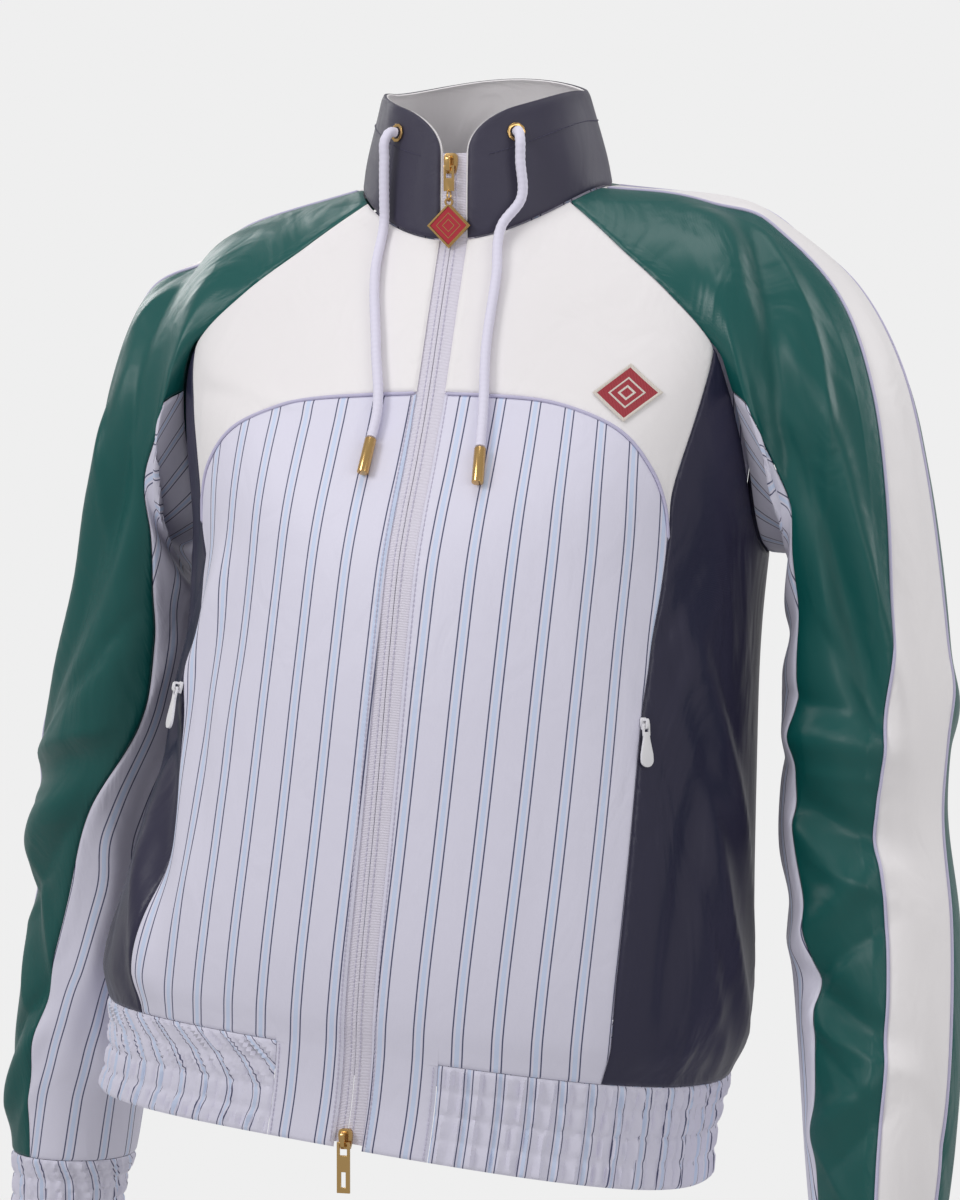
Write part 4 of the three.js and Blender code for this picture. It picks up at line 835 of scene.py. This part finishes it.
LEFT_FOLDS = table(
    "across along length width depth slant",
    (62, 70, 70, 13, -5, -50), (70, 200, 120, 8, 6, 8), (88, 215, 110, 9, -7, 12),
    (96, 330, 52, 13, 7, 70), (88, 380, 46, 11, -7, 62), (104, 430, 48, 12, 6, -58),
    (96, 490, 48, 11, -6, 58), (106, 545, 40, 11, 5, -60), (210, 400, 60, 14, -6, 70),
    (300, 350, 70, 14, 5, 60),
)
RIGHT_FOLDS = table(
    "across along length width depth slant",
    (50, 90, 60, 13, -4, -50), (42, 250, 110, 10, 6, 16), (60, 260, 100, 10, -6, 20),
    (52, 372, 52, 12, -7, 70), (50, 410, 50, 14, 6, 50), (46, 480, 60, 12, -5, -35),
    (56, 560, 50, 11, 5, 40), (110, 470, 90, 12, 4, 8), (210, 400, 60, 14, -6, 70),
    (290, 350, 70, 14, 5, 60),
)
# Finer creases, sharper along their crests
LEFT_CREASES = table(
    "across along length width depth slant",
    (64, 120, 70, 6, 2.4, -20), (78, 150, 80, 7, -2.2, 6), (98, 180, 80, 7, 2.4, 4),
    (60, 262, 80, 6, 2.2, 12), (78, 300, 50, 6, -2.4, 26), (112, 300, 44, 7, -2.0, 60),
    (90, 352, 40, 6, 2.2, 74), (110, 388, 34, 7, 2.0, 52), (84, 414, 34, 6, 2.2, 58),
    (98, 458, 40, 6, -2.2, -66), (112, 476, 34, 6, 2.0, -52), (88, 512, 40, 6, 2.2, 66),
    (104, 522, 30, 6, -1.8, 46), (94, 566, 36, 6, -2.0, -56), (110, 590, 30, 6, 1.8, 40),
    (60, 330, 60, 8, -1.4, 10), (30, 150, 90, 9, 1.0, 10), (8, 240, 120, 9, -0.9, -6),
    (40, 470, 90, 9, 1.0, 12), (30, 560, 50, 8, -1.0, 40), (160, 330, 60, 9, -1.8, 70),
    (190, 440, 60, 9, 2.0, 76), (250, 300, 60, 9, 1.8, 60), (280, 400, 60, 9, -2.2, 50),
    (300, 470, 50, 9, 2.0, -60), (270, 520, 50, 8, -1.8, 66), (320, 200, 90, 11, 1.4, -12),
    (335, 90, 60, 11, -1.2, 14), (290, 130, 70, 11, 1.6, -34), (230, 110, 50, 9, -1.8, 40),
    (150, 80, 40, 7, 1.6, -60), (200, 60, 40, 8, -1.6, 78), (52, 40, 34, 7, 1.4, -46),
)
RIGHT_CREASES = table(
    "across along length width depth slant",
    (40, 120, 70, 7, -1.8, -26), (58, 160, 80, 7, 2.0, -10), (84, 190, 70, 7, -1.8, 12),
    (30, 230, 90, 7, -1.8, 14), (52, 290, 90, 6, 2.4, 18), (76, 300, 60, 7, -1.8, 30),
    (40, 338, 60, 6, -2.2, 44), (60, 352, 46, 6, 2.2, 66), (36, 396, 46, 7, -2.0, 66),
    (62, 432, 46, 6, -2.2, 40), (36, 446, 40, 7, 2.0, 30), (64, 470, 50, 6, 2.0, -24),
    (34, 500, 50, 7, 1.8, -34), (60, 520, 44, 6, -1.8, 36), (42, 540, 40, 6, -2.0, 44),
    (66, 588, 30, 6, 1.8, 34), (36, 592, 30, 6, 1.6, 50), (-20, 200, 110, 10, 0.9, 6),
    (-16, 380, 90, 10, -1.0, -10), (-24, 520, 80, 9, 1.0, 10), (120, 330, 70, 8, 2.0, 14),
    (130, 420, 80, 8, -2.0, 10), (120, 520, 60, 8, 1.8, -16), (190, 430, 60, 9, 2.0, 76),
    (240, 300, 60, 9, 1.8, 60), (270, 390, 60, 9, -2.2, 50), (300, 460, 50, 9, 2.0, -60),
    (260, 520, 50, 8, -1.8, 66), (310, 190, 90, 11, 1.4, -12), (325, 90, 60, 11, -1.2, 14),
    (285, 130, 70, 11, 1.6, -34), (230, 110, 50, 9, -1.8, 40), (150, 80, 40, 7, 1.6, -60),
)
CUFF_TOP = 620
CUFF_END = 675
SLEEVES = (
    {"name": "left", "side": 1, "rows": LEFT_SLEEVE, "folds": LEFT_FOLDS, "creases": LEFT_CREASES},
    {"name": "right", "side": -1, "rows": RIGHT_SLEEVE, "folds": RIGHT_FOLDS, "creases": RIGHT_CREASES},
)
SEAM_GAP = 0.25  # degrees round the sleeve on each side of a long seam


def sleeve_ring(rows, row, around):
    """Points of sleeve rings, on the wearer's left; row is each point's ring."""
    turn = np.radians(around - rows["swing"][row] * np.sin(np.radians(around)))
    tilt = np.radians(rows["tilt"][row])
    out = rows["outer"][row] * np.cos(turn)
    return np.stack([
        rows["x"][row] + out * np.cos(tilt),
        rows["y"][row] - rows["fore"][row] * np.sin(turn),
        rows["z"][row] + out * np.sin(tilt),
    ], axis=-1)


def sleeve_plain(sleeve, around, reach):
    rows, side = sleeve["rows"], sleeve["side"]
    keys = np.concatenate([[0], rows["reach"]])
    angle, drop = loop_place(around)
    start = body_plain(angle * side, drop) * np.array([side, 1, 1])
    i = np.minimum(np.searchsorted(keys[1:], reach, side="left"), len(keys) - 2)

    def ring(k):
        return np.where((k == 0)[..., None], start, sleeve_ring(rows, np.maximum(k - 1, 0), around))

    before, after = np.maximum(i - 1, 0), np.minimum(i + 2, len(keys) - 1)
    a, b, ahead, behind = ring(i), ring(i + 1), ring(after), ring(before)
    span = (keys[i + 1] - keys[i])[..., None]
    t = ((reach - keys[i]) / (keys[i + 1] - keys[i]))[..., None]
    first = (b - behind) / (keys[i + 1] - keys[before])[..., None] * span
    last = (ahead - a) / (keys[after] - keys[i])[..., None] * span
    ease = 3 * t**2 - 2 * t**3
    point = a * (1 - ease) + b * ease + first * (t**3 - 2 * t**2 + t) + last * (t**3 - t**2)
    return point * np.array([side, 1, 1])


def sleeve_seams(sleeve, reach):
    first = {"reach": 0, "stripeF": 25, "stripeB": -25, "underF": 128, "underB": 232}
    rows = {name: np.concatenate([[first[name]], sleeve["rows"][name]]) for name in first}
    return sample_table(rows, "reach", reach)


def sleeve_surface(sleeve, around, reach, height=0.0):
    around, reach = np.broadcast_arrays(np.asarray(around, float), np.asarray(reach, float))
    turn = np.mod(around, 360)
    fold = fold_height(sleeve["folds"], 1, turn, reach)
    near = np.where(turn > 300, turn - 360, turn)
    crease = fold_height(sleeve["creases"], 1, turn, reach, crest=1.5)
    wrapped = fold_height(sleeve["creases"], 1, near, reach, crest=1.5)
    crease = np.where(turn > 300, crease + wrapped, crease)
    calm = np.clip(reach / 40, 0, 1) * np.clip((CUFF_TOP - reach) / 30, 0, 1)
    row = sample_table(sleeve["rows"], "reach", np.maximum(reach, sleeve["rows"]["reach"][0]))
    middle = np.stack([row["x"] * sleeve["side"], row["y"], row["z"]], axis=-1)
    point, normal = on_surface(lambda u, v: sleeve_plain(sleeve, u, v), (fold + crease) * calm + height,
                               around, reach, 0.5, 0.5, lambda p: p - middle)
    start = np.clip(reach / 25, 0, 1)[..., None]
    angle, drop = loop_place(around)
    body_normal = body_surface(angle * sleeve["side"], drop)[1]
    agree = np.clip((np.sum(normal * body_normal, axis=-1, keepdims=True) + 0.2) / 0.5, 0, 1)
    normal = unit(normal + (body_normal - normal) * (1 - start) * agree)
    return point + body_normal * 0.4 * (1 - start) * (1 - agree), normal


def straighten(sleeve, point, around, reach):
    """Under the arm, where the cloth turns back sharply, lead it straight between its first rings."""
    rings = (reach[0] + 0 * reach, 20 + 0 * reach, 42 + 0 * reach)
    first, second, third = (sleeve_surface(sleeve, around, ring)[0] for ring in rings)
    a = np.clip((reach - rings[0]) / (20 - rings[0]), 0, 1)[..., None]
    b = np.clip((reach - 20) / 22, 0, 1)[..., None]
    led = first * (1 - a) + second * (a - b) + third * b
    under = np.clip((around - 95) / 25, 0, 1) * np.clip((265 - around) / 25, 0, 1)
    share = (under * (reach < 42))[..., None]
    return point * (1 - share) + led * share


green_satin, tree, surface = shader("green_satin", 0.33, (0.002, 0.085, 0.078), Specular_IOR_Level=0.42)
cloth_bumps(tree, surface, 0.03, 3.0, 18.0, 0.6)

PIECES = (
    {"name": "stripe", "from": "stripeB", "to": "stripeF", "wide": 14, "slot": "white_satin"},
    {"name": "front", "from": "stripeF", "to": "underF", "wide": 44, "slot": "green_satin"},
    {"name": "under", "from": "underF", "to": "underB", "wide": 44, "slot": "striped_satin"},
    {"name": "back", "from": "underB", "to": "stripeB", "wide": 56, "slot": "green_satin"},
)
SATINS = {"white_satin": white_satin, "green_satin": green_satin, "striped_satin": striped_satin}

for sleeve in SLEEVES:
    for part in PIECES:
        across, down = shares(part["wide"], 120), shares(210, 620)
        share, reach = np.meshgrid(across, down * CUFF_TOP)
        seams = sleeve_seams(sleeve, reach)
        first, last = seams[part["from"]], seams[part["to"]]
        last = np.where(last < first, last + 360, last)
        around = first + (last - first) * share + SEAM_GAP * (1 - 2 * share)
        begin = sleeve_plain(sleeve, around[0], np.zeros(len(across)))
        pace = np.linalg.norm(sleeve_plain(sleeve, around[0], np.ones(len(across))) - begin, axis=-1)
        clear = SEAM / np.maximum(pace, 0.02)
        reach = clear + reach * (CUFF_TOP - clear) / CUFF_TOP
        reach[-1] -= SEAM
        point, normal = sleeve_surface(sleeve, around, reach)
        point = straighten(sleeve, point, around, reach)
        edge = edge_distance(point, "top bottom near far")
        point = turn_in(point, normal, edge)
        name = "sleeve_%s_%s" % (sleeve["name"], part["name"])
        piece = flat_grid(name.replace("sleeve_", "sleeve_cloth_"), point)
        u = run_lengths(point, 1)
        finish_cloth(piece, point, normal, u - u[:, -1:] / 2, run_lengths(point, 0), edge, CLOTH)
        sew(piece, name, SATINS[part["slot"]])

# The cuffs are tubes of the striped cloth over elastic, shirred like the waistband.
CUFF_GATHER = 1.25
CUFF_ROWS = (634, 648, 662)
for sleeve in SLEEVES:
    down = CUFF_TOP + SEAM + (CUFF_END - CUFF_TOP - SEAM) * shares(24, 55)
    around, reach = np.meshgrid(np.linspace(0, 360, 145), down)
    plain = sleeve_plain(sleeve, around, reach)
    run = run_lengths(plain, 1)
    turns = np.round(run[:, -1:] / GATHER["pitch"])
    even = run / run[:, -1:] * turns * GATHER["pitch"]
    height = gathers(even, reach, CUFF_ROWS, (CUFF_TOP, CUFF_END), 1.7, 1.0)
    height = height * np.clip(np.minimum(around, 360 - around) / 10, 0, 1) + row_groove(reach, CUFF_ROWS)
    point, normal = sleeve_surface(sleeve, around, reach, height)
    edge = edge_distance(plain, "top bottom")
    point = turn_in(point, normal, edge)
    point[:, -1] = point[:, 0]
    piece = flat_grid("cuff_cloth_" + sleeve["name"], point)
    finish_cloth(piece, point, normal, run * CUFF_GATHER, reach, edge, 1.2)
    bpy.ops.object.mode_set(mode="EDIT")
    bpy.ops.mesh.select_all(action="SELECT")
    bpy.ops.mesh.remove_doubles(threshold=0.00002)
    bpy.ops.object.mode_set(mode="OBJECT")
    sew(piece, "cuff_" + sleeve["name"], striped_satin)

# The stand collar is navy satin over a stiff lining, with round front corners. The white facing inside
# shows as a thin line along its edge. A stitched tunnel below the top edge holds the drawcord.
COLLAR = table(
    "rise left right frontY middleY backY frontZ sideZ backZ",
    (0, 76, 76, -70, 0, 68, -31, 2, 12), (0.35, 71.5, 71.5, -70, -1, 63, -5, 23, 34),
    (0.7, 66, 66, -69, -2, 58, 21, 44, 57), (1, 62, 62, -68, -3, 54, 42, 59, 70),
)
ZIP_TOP = 0.68


def collar_plain(angle, rise):
    return ring_point(sample_table(COLLAR, "rise", rise), angle)


def collar_surface(angle, rise, height=0.0):
    angle, rise = np.broadcast_arrays(np.asarray(angle, float), np.asarray(rise, float))
    height = np.zeros(angle.shape) + height
    return on_surface(collar_plain, height, angle, rise, 0.5, 0.005, away_from_middle)


def collar_layer(depth, top, set_back):
    """Points of a layer of the collar: how deep it lies, its top edge, and how far in its front edges."""
    across, down = shares(150, 420), shares(34, 80)
    rise = (top - (top - 0.004) * down)[:, None] * np.ones_like(across)
    up = np.clip((rise[:, :1] - ZIP_TOP) / (1 - ZIP_TOP), 0, 1)
    inset = 28 * (1 - np.sqrt(1 - up * up)) + set_back
    row = sample_table(COLLAR, "rise", rise[:, :1])
    near = ring_angle(row, TAPE["left"] + inset, "left")
    far = 360 - ring_angle(row, TAPE["right"] + inset, "right")
    angle = near + (far - near) * across
    angle = np.where(angle > 180, angle - 360, angle)
    roll = 1.0 * np.clip((rise - 0.9) / 0.1, 0, 1) ** 2
    folds = 0.6 * np.sin(angle / 7.0) * np.clip((0.8 - rise) / 0.5, 0, 1) * np.clip(rise / 0.2, 0, 1)
    return collar_surface(angle, rise, folds - depth - roll)


collar_navy, tree, surface = shader("collar_navy", 0.5, (0.036, 0.032, 0.062),
                                    Sheen_Weight=0.12, Sheen_Roughness=0.35)
cloth_bumps(tree, surface, 0.03, 1.6, 22.0, 0.4)
for name, slot, material, depth, thick, top, set_back in (
    ("collar", "navy_satin", collar_navy, 0.0, 1.5, 1.0, SEAM),
    ("collar_facing", "white_satin", white_satin, 1.6, 1.0, 0.995, -0.7),
):
    point, normal = collar_layer(depth, top, set_back)
    edge = edge_distance(point, "top bottom near far")
    if name == "collar":
        point = turn_in(point, normal, edge)
    piece = flat_grid(name + "_cloth", point)
    finish_cloth(piece, point, normal, run_lengths(point, 1), run_lengths(point, 0), edge, thick)
    sew(piece, name, material)

# Fine piping, a folded strip of pale lilac cloth, is caught in the lower seam of the yokes and in both
# edges of each shoulder stripe.
PIPE = 1.05
piping, tree, surface = shader("piping", 0.6, (0.60, 0.57, 0.76))
twill = node(tree, "TexWave", {"bands_direction": "DIAGONAL"}, Scale=520.0,
             Vector=node(tree, "TexCoord").outputs["Object"]).outputs["Fac"]
bump = node(tree, "Bump", None, Height=twill, Distance=0.0003, Strength=0.7)
tree.links.new(bump.outputs["Normal"], surface.inputs["Normal"])


def pipe(name, point, normal, slot):
    path = smooth_path(point - normal * 0.25, 2.0)
    lead = unit(normal.mean(axis=0)) + np.array([0.01, 0.02, 0.03])
    piece = tube(name, path, PIPE, 8, lead)
    piece.data.materials.append(piping)
    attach(piece, "jacket")


for half in SIDES:
    name, side = half["name"], half["side"]
    angle = yoke_seam_angle(np.linspace(0, 1, 60), name)
    seam = body_surface(angle * side, yoke_seam_drop(angle, 0))
    pipe("piping_yoke_" + name, *seam, "striped_satin")
for sleeve in SLEEVES:
    for which in ("stripeF", "stripeB"):
        reach = np.linspace(2, CUFF_TOP - 1, 150)
        around = sleeve_seams(sleeve, reach)[which]
        seam = sleeve_surface(sleeve, around, reach)
        pipe("piping_%s_%s" % (which.lower(), sleeve["name"]), *seam, "white_satin")

# The zip runs from the hem up into the collar: two woven tapes, with a spiral coil sewn to the back of
# each, so that only the tapes' folded edges and a row of stitches on each show from the front.
TAPE_DEPTH = 2.1
TAPE_UNDER = 4.0
ZIP_COLUMNS = (0.15, 0.35, 0.7, 1.2, 1.9, 2.5, 3.1, 3.6)  # over the coil, from the middle out
zip_cloth, tree, surface = shader("zip_cloth", 0.7, (0.80, 0.76, 0.87))
uv = node(tree, "UVMap").outputs["UV"]
rib = node(tree, "TexWave", {"bands_direction": "Y"}, Vector=uv, Scale=330.0).outputs["Fac"]
bump = node(tree, "Bump", None, Height=rib, Distance=0.0004, Strength=0.8)
tree.links.new(bump.outputs["Normal"], surface.inputs["Normal"])
thread_white = shader("thread_white", 0.6, (0.58, 0.55, 0.68))[0]
thread_navy = shader("thread_navy", 0.6, (0.05, 0.045, 0.09))[0]


def centre_surface(x, along, height):
    """The strip down the centre front, from the collar (negative: share of its height) to the hem."""
    turned = np.sign(x)
    which = np.where(x > 0, 1, 0)
    rise = np.clip(-along, 0, 1)
    row = sample_table(COLLAR, "rise", rise)
    body = sample_table(BODY, "drop", np.maximum(along, 0))
    on_collar = np.degrees(np.arcsin(np.abs(x) / np.where(which, row["left"], row["right"])))
    half = np.where(which, body["left"], body["right"])
    on_body = np.degrees(np.arcsin((np.abs(x) / half) ** (body["square"] / 2)))
    high, high_normal = collar_surface(on_collar * turned, rise, height)
    low, low_normal = body_surface(on_body * turned, np.maximum(along, 0), height)
    up = (along < 0)[..., None]
    return np.where(up, high, low), np.where(up, high_normal, low_normal)


def zip_places():
    """Places down the zip: shares of the collar's height, then drops, about two millimetres apart."""
    return np.concatenate([np.linspace(-ZIP_TOP, -0.012, 28), np.linspace(0.5, HEM - 3, 260)])


for half in SIDES:
    name, side = half["name"], half["side"]
    x = np.concatenate([ZIP_COLUMNS, np.linspace(4.6, TAPE[name] + TAPE_UNDER, 6)])
    across, along = np.meshgrid(x, zip_places())
    swell = 0.5 * np.exp(-((across / 2.9) ** 4)) * (1 - np.exp(-((across / 0.3) ** 2)))
    point, normal = centre_surface(across * side, along, swell - TAPE_DEPTH)
    piece = flat_grid("zip_cloth_" + name, point)
    finish_cloth(piece, point, normal, across, run_lengths(point, 0), across * 0 + 50, 0.7)
    sew(piece, "zip_tape_" + name, zip_cloth)


def thread(name, point, normal, material, slot, pitch=3.0):
    """A row of stitches: a thin thread that lies on the cloth and dips into it between stitches."""
    both = smooth_path(np.concatenate([point, normal * 50], axis=1), 0.5)
    path, out = both[:, :3], unit(both[:, 3:])
    run = np.concatenate([[0], np.cumsum(np.linalg.norm(np.diff(path, axis=0), axis=1))])
    dip = np.clip(np.cos(2 * np.pi * run / pitch) * 2.2 + 1.3, -1, 1)
    path = path + out * (0.32 * dip - 0.2)[:, None]
    piece = tube(name, path, 0.27, 5, unit(out.mean(axis=0)) + np.array([0.01, 0.02, 0.03]))
    piece.data.materials.append(material)
    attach(piece, "jacket")


along = zip_places()
for half in SIDES:
    name, side = half["name"], half["side"]
    for k, x in enumerate((2.9, TAPE[name] + 2.4)):
        depth = 0.4 - TAPE_DEPTH if k == 0 else 0.15
        run = along if k == 0 else along[along > 92]
        line = centre_surface(np.full_like(run, x * side), run, depth)
        thread("zip_stitch_%s_%d" % (name, k), *line, thread_white, "zip_tape")

# Other rows of stitches: the collar's tunnel, and the joints of the waistband with the fronts.
angle = np.concatenate([np.linspace(19, 180, 120), np.linspace(-179, -17, 120)])
line = collar_surface(angle, np.full_like(angle, 0.64), 0.6 * np.sin(angle / 7.0) * 0.5 + 0.15)
thread("collar_stitch", *line, thread_navy, "navy_satin")
for half in SIDES:
    name, side = half["name"], half["side"]
    drop = np.linspace(BAND_TOP + 1, HEM - 1, 30)
    line = body_surface(angle_at(FLAT_FRONT - 2.2, drop, name) * side, drop, 0.15)
    thread("band_stitch_" + name, *line, thread_white, "striped_satin")

# The hardware is cast and gilded: a slider at each end of the zip, a long pull on the lower one, and on
# the upper one a link with a small diamond charm of red enamel.
for node_name, piece_name, body in (
    ("zip_slider_top", "slider_top", "jacket"), ("zip_slider_bottom", "slider_bottom", "jacket"),
    ("zip_link", "link_cast", "link"), ("zip_pull_bottom", "pull_cast", "bottom_pull"),
):
    from_node(node_name, piece_name, body, gilt)
red_enamel = shader("red_enamel", 0.16, (0.42, 0.012, 0.028), Coat_Weight=0.6)[0]
CHARM = {"middle": (0, -72.8, -22.9), "thick": 0.8, "enamel": 11.2, "inlay": 0.5, "lines": (12.0, 7.4, 3.6)}
from_node("zip_charm", "charm_cast", "charm", gilt)
x, y, z = CHARM["middle"]
bpy.ops.object.select_all(action="DESELECT")
bpy.ops.mesh.primitive_cylinder_add(vertices=4, radius=CHARM["enamel"] * MM, depth=CHARM["inlay"] * MM,
                                    location=(x * MM, (y - CHARM["thick"]) * MM, z * MM),
                                    rotation=(math.radians(90), 0, 0))
bpy.ops.object.transform_apply(location=True, rotation=True, scale=True)
inlay = bpy.context.object
inlay.name = "charm_enamel"
inlay.data.materials.append(red_enamel)
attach(inlay, "charm")
for k, radius in enumerate(CHARM["lines"]):
    bpy.ops.object.select_all(action="DESELECT")
    bpy.ops.mesh.primitive_torus_add(major_segments=4, minor_segments=8, major_radius=radius * MM,
                                     minor_radius=(0.6 if k == 0 else 0.35) * MM,
                                     location=(x * MM, (y - CHARM["thick"] - 0.15) * MM, z * MM),
                                     rotation=(math.radians(90), 0, 0))
    bpy.ops.object.transform_apply(location=True, rotation=True, scale=True)
    rim = bpy.context.object
    rim.name = "charm_line_%d" % k
    rim.data.materials.append(gilt)
    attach(rim, "charm")

# The pocket zips hide in the side seams behind small moulded sliders with drop-shaped pulls.
white_plastic = shader("white_plastic", 0.35, (0.80, 0.79, 0.82))[0]
for half in SIDES:
    name = half["name"]
    from_node("pocket_slider_" + name, "pocket_clip_" + name, "jacket", white_plastic, 0.2)
    from_node("pocket_pull_" + name, "pocket_tab_" + name, name + "_pocket_pull",
              white_plastic, 0.3)

# The badge is a diamond of dense red embroidery with a thick off-white overlocked edge, sewn on flat. It
# carries plain nested diamonds.
BADGE = {"x": 117, "z": -121, "halfWidth": 19, "halfHeight": 16.8, "off": 0.35}


def front_place(x, z):
    """The place on the body's front with a given x and z."""
    angle, drop = x / 2.6, -z
    for _ in range(12):
        here = body_plain(angle, drop)
        turned = (body_plain(angle + 0.2, drop) - here) / 0.2
        lowered = (body_plain(angle, drop + 0.2) - here) / 0.2
        det = turned[..., 0] * lowered[..., 2] - turned[..., 2] * lowered[..., 0]
        dx, dz = x - here[..., 0], z - here[..., 2]
        angle = angle + (dx * lowered[..., 2] - dz * lowered[..., 0]) / det
        drop = drop + (turned[..., 0] * dz - turned[..., 2] * dx) / det
    return angle, drop


share = np.linspace(-0.5, 0.5, 61)
a, b = np.meshgrid(share, share)
angle, drop = front_place(BADGE["x"] + (a + b) * BADGE["halfWidth"],
                          BADGE["z"] + (a - b) * BADGE["halfHeight"])
rim = np.maximum(np.abs(a), np.abs(b)) * 2
border = np.clip((rim - 0.86) / 0.03, 0, 1)
lines = np.clip(1 - np.abs(rim - 0.5) / 0.05, 0, 1) + np.clip(1 - np.abs(rim - 0.22) / 0.06, 0, 1)
merrow = border * np.sqrt(np.clip(1 - ((rim - 0.93) / 0.075) ** 2, 0, 1))
height = BADGE["off"] + 0.75 + 0.5 * merrow + 0.3 * lines
point, normal = body_surface(angle, drop, height)
piece = flat_grid("badge_cloth", point)
finish_cloth(piece, point, normal, a / MM, b / MM, a * 0 + 50, 0.7)
embroidery, tree, surface = shader("embroidery", 0.55, Sheen_Weight=0.3)
uv = node(tree, "UVMap").outputs["UV"]
split = node(tree, "SeparateXYZ", None, Vector=uv)
ring = maths(tree, "MAXIMUM", maths(tree, "ABSOLUTE", split.outputs["X"]),
             maths(tree, "ABSOLUTE", split.outputs["Y"]))


def diamond_line(at, half):
    """One on a line of the nested diamonds, and none beside it."""
    return maths(tree, "LESS_THAN", maths(tree, "ABSOLUTE", maths(tree, "SUBTRACT", ring, at)), half)


lines = maths(tree, "MAXIMUM", diamond_line(0.25, 0.018), diamond_line(0.11, 0.022))
pale_share = maths(tree, "MAXIMUM", maths(tree, "GREATER_THAN", ring, 0.43), lines)
colour = blend_colours(tree, pale_share, (0.36, 0.015, 0.03), (0.72, 0.66, 0.60))
tree.links.new(colour, surface.inputs["Base Color"])
floss = node(tree, "TexWave", {"bands_direction": "DIAGONAL"}, Vector=uv, Scale=14.0,
             Distortion=0.4).outputs["Fac"]
bump = node(tree, "Bump", None, Height=floss, Distance=0.0003, Strength=0.8)
tree.links.new(bump.outputs["Normal"], surface.inputs["Normal"])
sew(piece, "breast_badge", embroidery)
